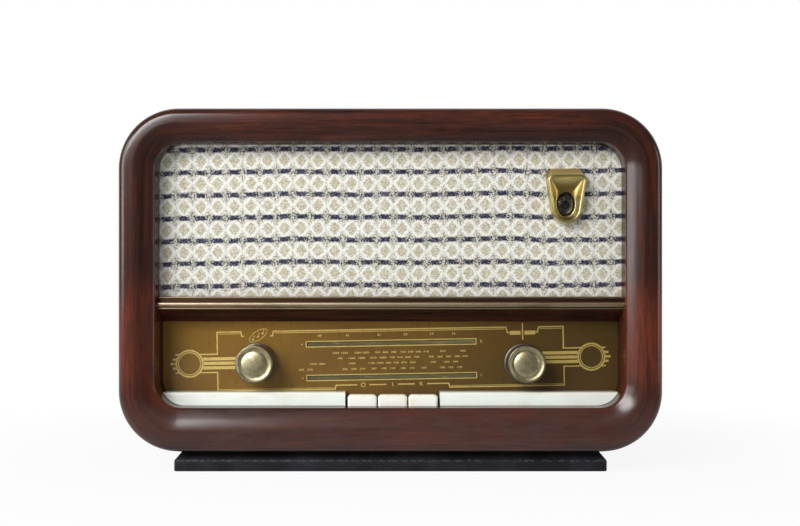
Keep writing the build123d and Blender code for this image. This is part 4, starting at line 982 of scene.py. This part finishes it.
# %% Brown paint behind glass
def brown_paint():
    """Golden brown, with painted light that makes it paler on the left and darker to the right and
    downwards, darker in slow clouds, under a clear glass coat.
    """
    paint = Finish("dial paint", Roughness=0.6, Coat_Weight=1.0, Coat_Roughness=0.05,
                   Specular_IOR_Level=0.0)
    x, y, z = paint.parts(paint.place())
    clouds = paint.noise(paint.stretch(paint.place(), (0.5, 1, 1)), 16, 4, 0.6)
    mist = paint.noise(paint.stretch(paint.place(), (1, 1, 0.3)), 260, 3, 0.6)
    # Painted light and shade: paler on the left, darker to the right and towards the bottom
    side = (x - (z - glass_low.z) * 0.9 + (clouds - 0.5) * 0.14).step(-0.24, 0.19)
    colour = paint.mix(side, (0.205, 0.112, 0.024), (0.060, 0.036, 0.010))
    colour = paint.mix(clouds.step(0.45, 0.7) * 0.35, colour, (0.105, 0.052, 0.018))
    paint.feed("Base Color", paint.mix(mist.step(0.55, 0.75) * 0.35, colour, (0.06, 0.035, 0.012)))
    paint.bump(clouds, 0.0004, 0.15)
    return paint


shaft_holes = [circle((side * shaft_x, shaft_z), 6 * MM) for side in (-1, 1)]
plate_outline = [(glass_low.x, glass_low.z), (glass_high.x, glass_low.z),
                 (glass_high.x, glass_high.z), (glass_low.x, glass_high.z)]
slot_loops = [on_dial([(a, b), (c, b), (c, d), (a, d)], 0)[:, (0, 2)] for a, b, c, d in slots]
plate = cut_plate("dial_plate", [plate_outline, *slot_loops, *shaft_holes], glass_low.y, glass_high.y)
dress(plate, "cabinet", "printed_glass", brown_paint(), "dial_glass")

# %% [markdown]
# ## Glass in the slots
# Through the slots one looks at clear, slightly green glass, and the lit plate and the pointer
# lie behind it. The panes are thin boxes inside the slots. Their alpha lets the pointer show, and
# their dark olive colour is painted shade of the dim space behind.

# %% Slot panes
def slot_glass():
    """Greenish glass, dusty in fine specks; its dark olive colour and low clearness paint the shade
    behind the slots.
    """
    # Painted shade: three quarters opaque and dark olive, the glass stands for the dim space behind
    glass = Finish("slot glass", Roughness=0.4, Alpha=0.75, Specular_IOR_Level=0.0, Coat_Weight=0.8,
                   Coat_Roughness=0.04)
    dust = glass.noise(glass.stretch(glass.place(), (0.12, 1, 1)), 260, 3, 0.6)
    glass.feed("Base Color", glass.mix(dust.step(0.35, 0.75), (0.115, 0.10, 0.045), (0.185, 0.165, 0.08)))
    glass.bump(dust, 0.0001, 0.3)
    return glass


panes = [cut_plate(f"slot_pane_{place}", [loop], glass_low.y + 1.2 * MM, glass_low.y + 2.4 * MM)
         for place, loop in enumerate(slot_loops)]
pane_finish = slot_glass()
for pane in panes:
    dress(pane, "cabinet", "printed_glass", pane_finish, "dial_glass")

# %% [markdown]
# ## The gold print
# The lines are gold paint of an even width. A line on a path keeps its width at the corners when
# its edge points move along the mitre: the half-way direction of the two sides that meet. Every
# shape of the print goes into one mesh, as thin as paint. Figures come from Blender's own font.

# %% Lines of one width
print_front = glass_low.y - 0.14 * MM
print_back = glass_low.y + 0.04 * MM


def line(path, width, closed=False):
    """A flat bar along a path: each corner's two points lie on its mitre, half a width from the
    path, measured across the sides. Gives the points and the faces."""
    path = np.asarray(path, float)
    legs = np.diff(path, axis=0, append=path[:1])
    legs = legs if closed else np.concatenate([legs[:-1], legs[-2:-1]])
    across = np.stack([-legs[:, 1], legs[:, 0]], 1) / np.linalg.norm(legs, axis=1, keepdims=True)
    across_before = np.roll(across, 1, 0)
    if not closed:
        across_before[0] = across[0]
    mitre = across + across_before
    mitre /= (mitre * across).sum(1, keepdims=True)
    left, right = path + mitre * width / 2, path - mitre * width / 2
    rings = np.stack([on_dial(left, print_front), on_dial(left, print_back),
                      on_dial(right, print_back), on_dial(right, print_front)], 1)
    faces = quads(len(path), 4, wrap_rows=closed)
    if not closed:
        last = 4 * len(path) - 4
        faces += [[0, 1, 2, 3], [last, last + 1, last + 2, last + 3]]
    return rings.reshape(-1, 3), faces


def figures(text, u, v, size, wide=1.0):
    """Text centred at a place and widened by a factor, from a font curve filled and thickened."""
    drawing = bpy.data.curves.new("figures", "FONT")
    drawing.body = text
    drawing.size = size
    drawing.align_x = "CENTER"
    drawing.align_y = "CENTER"
    drawing.extrude = 0.5
    drawing.offset = 0.022 * size
    drawing.resolution_u = 3
    spots, faces = filled(drawing)
    depth = np.where(spots[:, 2] > 0, print_front, print_back)
    return on_dial(spots[:, :2] * (wide, 1) + (u, v), depth), faces


class Print:
    """Shapes that become one mesh."""

    def __init__(self):
        self.points = []
        self.faces = []
        self.count = 0

    def add(self, shape):
        points, faces = shape
        self.points.append(points)
        self.faces += [[corner + self.count for corner in face] for face in faces]
        self.count += len(points)

    def thing(self, name):
        made = add_mesh(name, np.concatenate(self.points), self.faces)
        keep_edges_crisp(made, 20)
        return made


print("print is", round((print_back - print_front) / MM, 2), "mm deep")

# %% Lines and rings of the print
gold = Print()
ring_u = 207.2
for side in (-1, 1):
    gold.add(line(circle((side * ring_u, 0), 13.6), 1.7, closed=True))
    gold.add(line(circle((side * ring_u, 0), 11.4), 0.9, closed=True))
    for v in (-4.6, 0.0, 4.6):
        gold.add(line([(side * 156.5, v), (side * 193.2, v)], 3.2))
    for v, reach in ((-9.4, 221.8), (-4.6, 224.8), (0.0, 227.0), (4.6, 224.8), (9.4, 221.8)):
        inner = ring_u + math.sqrt(14.3**2 - v**2) - 0.3
        gold.add(line([(side * inner, v), (side * reach, v)], 1.5 if abs(v) > 9 else 2.4))
bars = [
    (1.3, [(-196.8, 9.4), (-178.4, 9.4), (-178.4, 32.0),
           (-154.0, 32.0), (-153.0, 27.4), (-150.6, 27.4)]),
    (0.6, [(-176.6, 30.0), (-155.2, 30.0)]),
    (1.3, [(-123.5, 27.4), (-121.2, 27.4), (-120.2, 32.0),
           (119.6, 32.0), (120.8, 26.4), (122.6, 26.4)]),
    (0.7, [(-118.4, 30.2), (118.2, 30.2)]),
    (4.0, [(123.3, 26.0), (134.6, 26.0)]),
    (4.0, [(138.7, 26.0), (150.0, 26.0)]),
    (1.2, [(136.7, 18.6), (136.7, 36.0)]),
    (1.3, [(150.4, 26.4), (152.0, 26.4), (153.4, 31.7), (178.5, 31.7), (178.5, 9.4), (196.8, 9.4)]),
    (0.6, [(154.8, 29.8), (176.8, 29.8)]),
    (1.2, [(196.8, -9.4), (178.8, -9.4), (178.8, -28.8),
           (60.8, -28.8), (59.8, -24.8), (37.4, -24.8)]),
    (0.5, [(177.2, -27.2), (62.2, -27.2)]),
    (1.2, [(-196.8, -9.4), (-178.4, -9.4), (-178.4, -28.8),
           (-57.6, -28.8), (-56.6, -24.8), (-34.8, -24.8)]),
    (0.5, [(-176.8, -27.2), (-58.8, -27.2)]),
    (1.2, [(-22.2, -24.8), (-4.8, -24.8)]),
    (1.2, [(7.4, -24.8), (24.8, -24.8)]),
]
for width, path in bars:
    gold.add(line(path, width))
gold.add(line(circle((-28.6, -24.8), 2.1, 32), 0.7, closed=True))
slot_line = 0.9
for a, b, c, d in np.array(slots) + slot_line / 2 * np.array([-1, -1, 1, 1]):
    gold.add(line([(a, b), (c, b), (c, d), (a, d)], slot_line, closed=True))
print("lines:", gold.count, "points")

# %% The tone mark
# An oval ring that leans to the right, with three plain notes inside
lean = math.radians(33)
ring_path = circle((0, 0), 1, 64) * (10.6, 4.4)
ring_path = ring_path @ np.array([[math.cos(lean), math.sin(lean)], [-math.sin(lean), math.cos(lean)]])
gold.add(line(ring_path + (-136.0, 28.0), 0.55, closed=True))
for u, v in ((-141.4, 23.6), (-136.4, 26.6), (-131.4, 29.9)):
    gold.add(line(circle((u, v), 0.55, 16), 0.9, closed=True))
    gold.add(line([(u + 0.9, v), (u + 0.9, v + 4.0), (u + 2.0, v + 3.2)], 0.4))
print("with the tone mark:", gold.count, "points")

# %% Figures of the scale
for text, u in (("49", -72.7), ("41", -43.8), ("31", -11.3), ("25", 16.0), ("19", 42.8), ("16", 65.5)):
    gold.add(figures(text, u, 26.4, 3.3, 1.25))
for text, u, v in (("II.", 94.2, 17.8), ("I.", 93.6, -17.0), ("I.", 2.2, -24.8), ("II.", 31.4, -24.8)):
    gold.add(figures(text, u, v, 5.0 if v < -20 else 3.6))
for v in (17.8, -17.0):
    gold.add(figures("=", -91.0, v, 3.4, 1.2))
rows = [
    (8.3, [(-56.5, "1500"), (-47.5, "1350"), (-34, "1200"), (-25.5, "1050"), (-13, "950"),
           (-5, "860"), (3.5, "780"), (13, "730"), (21, "690"), (29, "650"), (37, "610"),
           (54, "570"), (75, "540")]),
    (2.8, [(-52, "185"), (-40, "1620"), (-30, "1480"), (-18, "1210"), (-8, "1080"), (2, "990"),
           (10, "910"), (18, "840"), (27, "770"), (42, "700"), (51, "660"), (60, "620"),
           (69, "580"), (77, "545")]),
    (-2.7, [(-80, "1950"), (-71, "1800"), (-40, "1420"), (-20, "1150"), (-11, "1040"),
            (-2, "980"), (6, "930"), (14, "870"), (23, "800"), (44, "690"), (58, "630"),
            (67, "590")]),
    (-8.4, [(-92, "285"), (-83, "272"), (-47, "236"), (-38, "228"), (-29, "219"), (-17, "207"),
            (-7, "198"), (2, "190"), (13, "182"), (22, "176"), (34, "168"), (53, "158"),
            (62, "153"), (71, "150")]),
]
for v, labels in rows:
    for u, text in labels:
        gold.add(figures(text, u, v, 2.6, 1.45))
print("with the figures:", gold.count, "points")

# %% Gold paint
def gold_paint():
    """Pale gold, thinner and browner in small patches, under the same clear glass coat. Painted light
    makes it paler on the left and darker to the right.
    """
    paint = Finish("gold paint", Metallic=0.1, Roughness=0.5, Coat_Weight=1.0, Coat_Roughness=0.05,
                   Specular_IOR_Level=0.1)
    worn = paint.noise(paint.place(), 190, 4, 0.6)
    # Painted light: the gold is paler on the left and darker to the right
    side = paint.parts(paint.place())[0].step(-0.22, 0.22)
    colour = paint.mix(side, (0.62, 0.46, 0.14), (0.44, 0.33, 0.095))
    paint.feed("Base Color", paint.mix(worn.step(0.5, 0.75) * 0.6, colour, (0.25, 0.165, 0.055)))
    paint.bump(worn, 0.00005, 0.3)
    return paint


dress(gold.thing("gold_print"), "cabinet", "printed_glass", gold_paint(), "dial_glass")

# %% [markdown]
# ## Push keys and white strips
# The keys are cast in a cream resin that has gone a little yellow in patches, with dirt and a
# band of painted shade along their top edges. A key's front is a rounded shape: rings shrink
# towards the front face along a quarter circle. The strips beside them keep the shape that the
# frame gives them, and get the same resin in a colder white, with the same painted shade along
# the top.

# %% Resin
def resin(name, pale, aged_and_shade, top_z, dirt=0.6):
    """Smooth resin: its aged colour shows in slow patches. Along the top edge a darker band is partly
    ageing and partly painted shade, with dirt there.
    """
    cast = Finish(name, Roughness=0.32, Coat_Weight=0.35, Coat_Roughness=0.15)
    z = cast.parts(cast.place())[2]
    patches = cast.noise(cast.stretch(cast.place(), (0.4, 1, 1)), 60, 4, 0.6)
    crumbs = cast.noise(cast.place(), 900, 3, 0.65)
    # Darker band along the top edge: partly ageing, partly painted shade
    near_top = (z - (top_z - 3.2 * MM)).step(0.0, 3.6 * MM)
    colour = cast.mix(patches.step(0.4, 0.7) * 0.5, pale, aged_and_shade)
    colour = cast.mix(near_top * 0.8, colour, aged_and_shade)
    soiled = near_top * crumbs.step(0.54, 0.62) * dirt
    cast.feed("Base Color", cast.mix(soiled, colour, (0.17, 0.125, 0.07)))
    cast.bump(patches + crumbs * 0.15, 0.0003, 0.25)
    return cast


key_top_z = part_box("key_cap_1")[1].z
strip_top_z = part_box("filler_strip_left")[1].z
key_finish = resin("key resin", (0.93, 0.93, 0.86), (0.80, 0.74, 0.56), key_top_z)
strip_finish = resin("strip resin", (0.84, 0.89, 0.83), (0.72, 0.70, 0.58), strip_top_z, 0.25)
print("two resins")

# %% Push keys
def push_key(number):
    """Rings of a rectangle from the back to the front. Near the front they draw in along a quarter
    circle, and the corners at the top are rounder than those at the bottom."""
    low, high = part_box(f"key_cap_{number}")
    half_x = (high.x - low.x) / 2
    half_z = (high.z - low.z) / 2
    bend = 2.4 * MM
    steps = [(0.35 * MM, high.y), (0.0, high.y - 0.35 * MM), (0.0, low.y + bend + 1 * MM)]
    steps += [(bend * (1 - math.cos(a)), low.y + bend * (1 - math.sin(a)))
              for a in np.linspace(0, math.pi / 2, 9)]
    steps += [(bend + 1.2 * MM, low.y)]
    rings = []
    for inset, depth in steps:
        ring = round_rect(half_x - inset, half_z - inset * 0.8, 4.2 * MM, 0, 0, 8, 6)
        square = np.clip(ring[:, 1] / -half_z * 1.6 - 0.2, 0, 1)[:, None]
        edge = np.array([half_x - inset, half_z - inset * 0.8])
        near_side = np.abs(ring[:, :1]) > half_x * 0.6
        ring = ring + square * near_side * (np.clip(ring * 3, -edge, edge) - ring)
        rings.append(upright(ring + ((low.x + high.x) / 2, (low.z + high.z) / 2), depth))
    thing = from_rings(f"push_key_{number}", rings)
    keep_edges_crisp(thing, 50)
    return thing


for number in (1, 2, 3):
    dress(push_key(number), f"key_{number}", "key_plastic", key_finish, f"key_cap_{number}")

# %% [markdown]
# ## Finishes for the pieces of the frame
# All other pieces keep the shape of the frame and get the finish of their own stuff. Most of
# these are two tones mixed by noise, with a little relief: board, tinned steel, moulded Bakelite,
# paper, rubber. One helper makes such a finish, and the table under it names tones and scales.

# %% Two-tone finishes
def two_tone(name, light, dark, scale, stretch=(1, 1, 1), relief=0.0002, rough=(0.45, 0.25),
             fleck=None, **constants):
    """Light and dark by noise of so many lumps a metre, with a finer noise for relief and flecks."""
    made = Finish(name, **constants)
    lumps = made.noise(made.stretch(made.place(), stretch), scale, 4, 0.6)
    fine = made.noise(made.stretch(made.place(), stretch), scale * 9, 3, 0.6)
    colour = made.mix(lumps.step(0.36, 0.66), light, dark)
    if fleck:
        colour = made.mix(fine.step(0.58, 0.70) * 0.7, colour, fleck)
    made.feed("Base Color", colour)
    made.feed("Roughness", lumps * rough[1] + rough[0])
    made.bump(fine + lumps * 0.4, relief, 0.5)
    return made


def cover(finish, *names):
    """Gives a finish to pieces of the frame, through their own material slots."""
    for name in names:
        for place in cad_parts[name].material_slots:
            place.material = finish.material
    print(finish.material.name, "on", ", ".join(names))


cover(strip_finish, "filler_strip_left", "filler_strip_right")
cover(two_tone("hardboard", (0.155, 0.085, 0.042), (0.095, 0.052, 0.027), 34, fleck=(0.26, 0.165, 0.09),
               relief=0.0004, rough=(0.7, 0.2), Specular_IOR_Level=0.2), "back_cover")
cover(two_tone("spruce", (0.42, 0.27, 0.13), (0.30, 0.175, 0.075), 9, (0.6, 12, 12), rough=(0.6, 0.2),
               fleck=(0.20, 0.11, 0.05)), "baffle_board", "chassis_battens", "cover_blocks")
cover(two_tone("zinc plate", (0.52, 0.51, 0.47), (0.38, 0.36, 0.32), 55, rough=(0.30, 0.25), relief=0.0001,
               fleck=(0.25, 0.22, 0.18), Metallic=1.0),
      "chassis", "speaker_basket", "key_bracket", "key_rod", "key_lever_1", "key_lever_2", "key_lever_3",
      "capacitor_frame", "pointer_rail", "eye_clip", "volume_shaft", "tuning_shaft", "glass_clips")
cover(two_tone("aluminium can", (0.64, 0.64, 0.63), (0.52, 0.52, 0.52), 40, (1, 1, 0.1), rough=(0.24, 0.2),
               relief=0.00008, fleck=(0.40, 0.40, 0.39), Metallic=1.0),
      "coil_cans", "filter_capacitor", "volume_control", "capacitor_rotor", "capacitor_stator")
cover(two_tone("dial backing", (0.66, 0.63, 0.52), (0.50, 0.46, 0.35), 26, rough=(0.5, 0.2),
               fleck=(0.34, 0.30, 0.22)), "dial_backplate")
cover(two_tone("moulded resin", (0.030, 0.016, 0.011), (0.052, 0.024, 0.014), 60, rough=(0.28, 0.25),
               fleck=(0.014, 0.008, 0.006)),
      "tube_sockets", "socket_strip", "drive_drum", "pulley_left", "pulley_right")
cover(two_tone("dial cord", (0.42, 0.36, 0.25), (0.26, 0.21, 0.14), 800, rough=(0.75, 0.2)), "drive_cord")
cover(two_tone("ferrite", (0.062, 0.060, 0.060), (0.035, 0.033, 0.033), 90, rough=(0.55, 0.2)),
      "speaker_magnet")
cover(two_tone("cone paper", (0.060, 0.054, 0.048), (0.030, 0.027, 0.024), 180, rough=(0.85, 0.1),
               relief=0.0004, fleck=(0.11, 0.10, 0.09)), "speaker_cone")
cover(two_tone("rubber", (0.018, 0.018, 0.018), (0.030, 0.029, 0.028), 140, rough=(0.6, 0.2)),
      "cord_grommet")
cover(brass("screw brass", (0.52, 0.40, 0.20), (0.22, 0.15, 0.075), 0.3),
      "wood_screws", "key_springs", "tuning_bushing", "dial_pointer")

# %% [markdown]
# ## The inner wood
# The cheeks beside the dial and the rail over it are the same mahogany. They have no attribute
# for the grain, but they are straight boards along X, so their own X does as the way of the
# fibres.

# %% Straight mahogany
straight_mahogany = mahogany(own_lane=False, coat=0.3)
cover(straight_mahogany, "divider_rail", "dial_cheek_left", "dial_cheek_right")

# %% [markdown]
# ## Valves, lamps and transformers
# A valve is a glass bulb on a dark base, silvered inside its top. Height alone tells the three
# apart, so one finish with two steps along Z dresses all four. The transformers are stacks of
# iron sheets round a paper-wrapped coil: fine stripes across their length stand for the sheets.

# %% Glass and windings
def valve_glass():
    """Dark base below, grey clear glass in the middle, and a silver mirror near the top."""
    glass = Finish("valve glass", Coat_Weight=0.9, Coat_Roughness=0.03)
    z = glass.parts(glass.place())[2]
    low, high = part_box("valves")
    smoke = glass.noise(glass.place(), 70, 3, 0.6)
    silver = (z + (smoke - 0.5) * 12 * MM - (high.z - 17 * MM)).step(-2 * MM, 2 * MM)
    base = (z - (low.z + 11 * MM)).step(-0.3 * MM, 0.3 * MM).flip()
    colour = glass.mix(smoke.step(0.4, 0.7), (0.11, 0.115, 0.11), (0.19, 0.18, 0.16))
    colour = glass.mix(silver, colour, (0.62, 0.60, 0.56))
    glass.feed("Base Color", glass.mix(base, colour, (0.020, 0.013, 0.010)))
    glass.feed("Metallic", silver * base.flip() * 0.9)
    glass.feed("Roughness", smoke * 0.2 + 0.06)
    glass.feed("Alpha", (silver + base).math("MINIMUM", 1.0) * 0.5 + 0.5)
    return glass


def lamp_glass():
    """Thin clear bulbs with a warm tint and a dull spot where the filament has blackened them."""
    glass = Finish("lamp glass", Alpha=0.6, Coat_Weight=1.0, Coat_Roughness=0.03, Roughness=0.1)
    soot = glass.noise(glass.place(), 300, 3, 0.6)
    glass.feed("Base Color", glass.mix(soot.step(0.45, 0.7), (0.75, 0.70, 0.55), (0.22, 0.18, 0.13)))
    glass.bump(soot, 0.0001, 0.2)
    return glass


def laminated():
    """Iron sheets as fine stripes along X, rusty in patches, over a paper-brown coil."""
    iron = Finish("transformer iron", Specular_IOR_Level=0.4)
    rust = iron.noise(iron.place(), 60, 4, 0.6)
    sheets = iron.parts(iron.place())[0].sine(0.9 * MM)
    colour = iron.mix(sheets.step(-0.3, 0.6), (0.055, 0.047, 0.042), (0.13, 0.115, 0.10))
    iron.feed("Base Color", iron.mix(rust.step(0.5, 0.75) * 0.6, colour, (0.16, 0.075, 0.035)))
    iron.feed("Roughness", rust * 0.3 + 0.4)
    iron.bump(sheets * 0.5 + rust, 0.0003, 0.5)
    return iron


cover(valve_glass(), "valves")
cover(lamp_glass(), "dial_lamps")
cover(laminated(), "mains_transformer", "output_transformer")

# %% [markdown]
# ## Floor and surroundings
# The radio stands on a white table in a white room. Close to it the floor takes its shadow, and
# further off it fades to plain white, so that no horizon shows. To the camera the room is white
# all round. To mirrored rays it is white behind the radio and nearly dark above it and on the
# viewer's side: that is what dark varnish needs to stay dark, because it mirrors whatever is in
# front of it.

# %% Floor
shadow_x, shadow_y = 0.22, 0.10


def rays(tree):
    """Two fields: one for rays from the camera or through glass, and one for mirrored rays."""
    path = tree.nodes.new("ShaderNodeLightPath")
    seen = Field(tree, path.outputs["Is Camera Ray"]) + Field(tree, path.outputs["Is Transmission Ray"])
    return seen.math("MINIMUM", 1.0), Field(tree, path.outputs["Is Glossy Ray"])


def white_table():
    """A pale diffuse surface that turns to white light with the distance from the base board. In
    mirrors it is white behind the radio's front and dark before it."""
    table = Finish("white table", Roughness=0.8, Specular_IOR_Level=0.1)
    x, y, z = table.parts(table.place())
    grit = table.noise(table.place(), 60, 3, 0.6)
    seen, mirrored = rays(table.tree)
    behind = y.step(-0.4, 0.2)
    pale = table.mix(grit, (0.79, 0.79, 0.79), (0.81, 0.81, 0.81))
    table.feed("Base Color", table.mix(mirrored * behind.flip(), pale, (0.12, 0.12, 0.12)))
    out_x = (abs(x) - shadow_x).math("MAXIMUM", 0.0)
    out_y = (abs(y) - shadow_y).math("MAXIMUM", 0.0)
    away = (out_x * out_x + out_y * out_y).math("SQRT").step(0.0, 0.55)
    glow = table.node("ShaderNodeEmission")
    blend = table.node("ShaderNodeMixShader")
    share = (away * 0.1 + 0.9) * (seen + mirrored * behind).math("MINIMUM", 1.0)
    table.tree.links.new(share.socket, blend.inputs[0])
    table.tree.links.new(table.shader.outputs[0], blend.inputs[1])
    table.tree.links.new(glow.outputs[0], blend.inputs[2])
    table.tree.links.new(blend.outputs[0], table.tree.nodes["Material Output"].inputs["Surface"])
    return table


reach = 30.0
corners = [(-reach, -reach, 0), (reach, -reach, 0), (reach, reach, 0), (-reach, reach, 0)]
floor = add_mesh("table_top", corners, [(0, 1, 2, 3)])
floor.data.materials.append(white_table().material)
print("floor:", 2 * reach, "m")

# %% The room
room = bpy.data.worlds.new("white room")
room.use_nodes = True
bpy.context.scene.world = room
tree = room.node_tree
background = tree.nodes["Background"]
way = tree.nodes.new("ShaderNodeTexCoord")
split = tree.nodes.new("ShaderNodeSeparateXYZ")
tree.links.new(way.outputs["Generated"], split.inputs[0])
toward_back = Field(tree, split.outputs[1])
path = tree.nodes.new("ShaderNodeLightPath")
direct = Field(tree, path.outputs["Is Camera Ray"])
mirrored = Field(tree, path.outputs["Is Glossy Ray"])
mirrored = (mirrored + Field(tree, path.outputs["Is Transmission Ray"])).math("MINIMUM", 1.0)
mirror_light = toward_back.step(-0.1, 0.75) * 0.95 + 0.05
soft_light = 0.30
strength = direct + direct.flip() * (mirrored * mirror_light + mirrored.flip() * soft_light)
tree.links.new(strength.socket, background.inputs["Strength"])
background.inputs["Color"].default_value = (1, 1, 1, 1)
print("room: soft light", soft_light)

# %% [markdown]
# ## Lamps
# A soft lamp hangs high on the left, so shadows fall to the right and down. A wide window farther
# down on the left is mirrored as the sheen on slopes that face it, and a narrow card on the right
# draws the thin bright line along the edges that face right.

# %% Lamps
def soft_lamp(name, place, aim, width, height, power):
    """A rectangle of light at a place, turned so that it shines at the aim."""
    light = bpy.data.lights.new(name, "AREA")
    light.shape = "RECTANGLE"
    light.size = width
    light.size_y = height
    light.energy = power
    lamp = bpy.data.objects.new(name, light)
    bpy.context.scene.collection.objects.link(lamp)
    lamp.location = place
    way = Vector(aim) - Vector(place)
    lamp.rotation_euler = way.to_track_quat("-Z", "Y").to_euler()
    return lamp


soft_lamp("key", (-1.15, -1.9, 1.30), (0.0, -0.1, 0.18), 1.0, 1.0, 44)
soft_lamp("wide window", (-2.0, -1.25, 0.80), (0.0, -0.1, 0.2), 1.2, 1.25, 26)
soft_lamp("right card", (1.7, -0.75, 0.35), (0.0, -0.1, 0.2), 0.25, 1.1, 5)
print("three lamps")

# %% [markdown]
# ## Camera
# The photograph was taken from about a metre, level and opposite the radio's middle, with the
# picture's frame shifted up and a little to the right. A level camera keeps the upright lines
# upright.

# %% Camera
camera_distance = 1.1055
camera_height = 0.1718
camera = bpy.data.cameras.new("viewer")
camera.lens = 45
camera.sensor_width = 36
camera.shift_x = 0.0119
camera.shift_y = 0.046
viewer = bpy.data.objects.new("viewer", camera)
bpy.context.scene.collection.objects.link(viewer)
viewer.location = (0, -camera_distance, camera_height)
viewer.rotation_euler = (math.pi / 2, 0, 0)
bpy.context.scene.camera = viewer
bpy.context.scene.view_settings.view_transform = "Standard"
print("camera at", tuple(round(value, 3) for value in viewer.location))

# %% [markdown]
# ## The end
# The new pieces have to stay inside the frame's box. The last cell brings the scene up to date.

# %% Update the scene
bpy.context.view_layer.update()
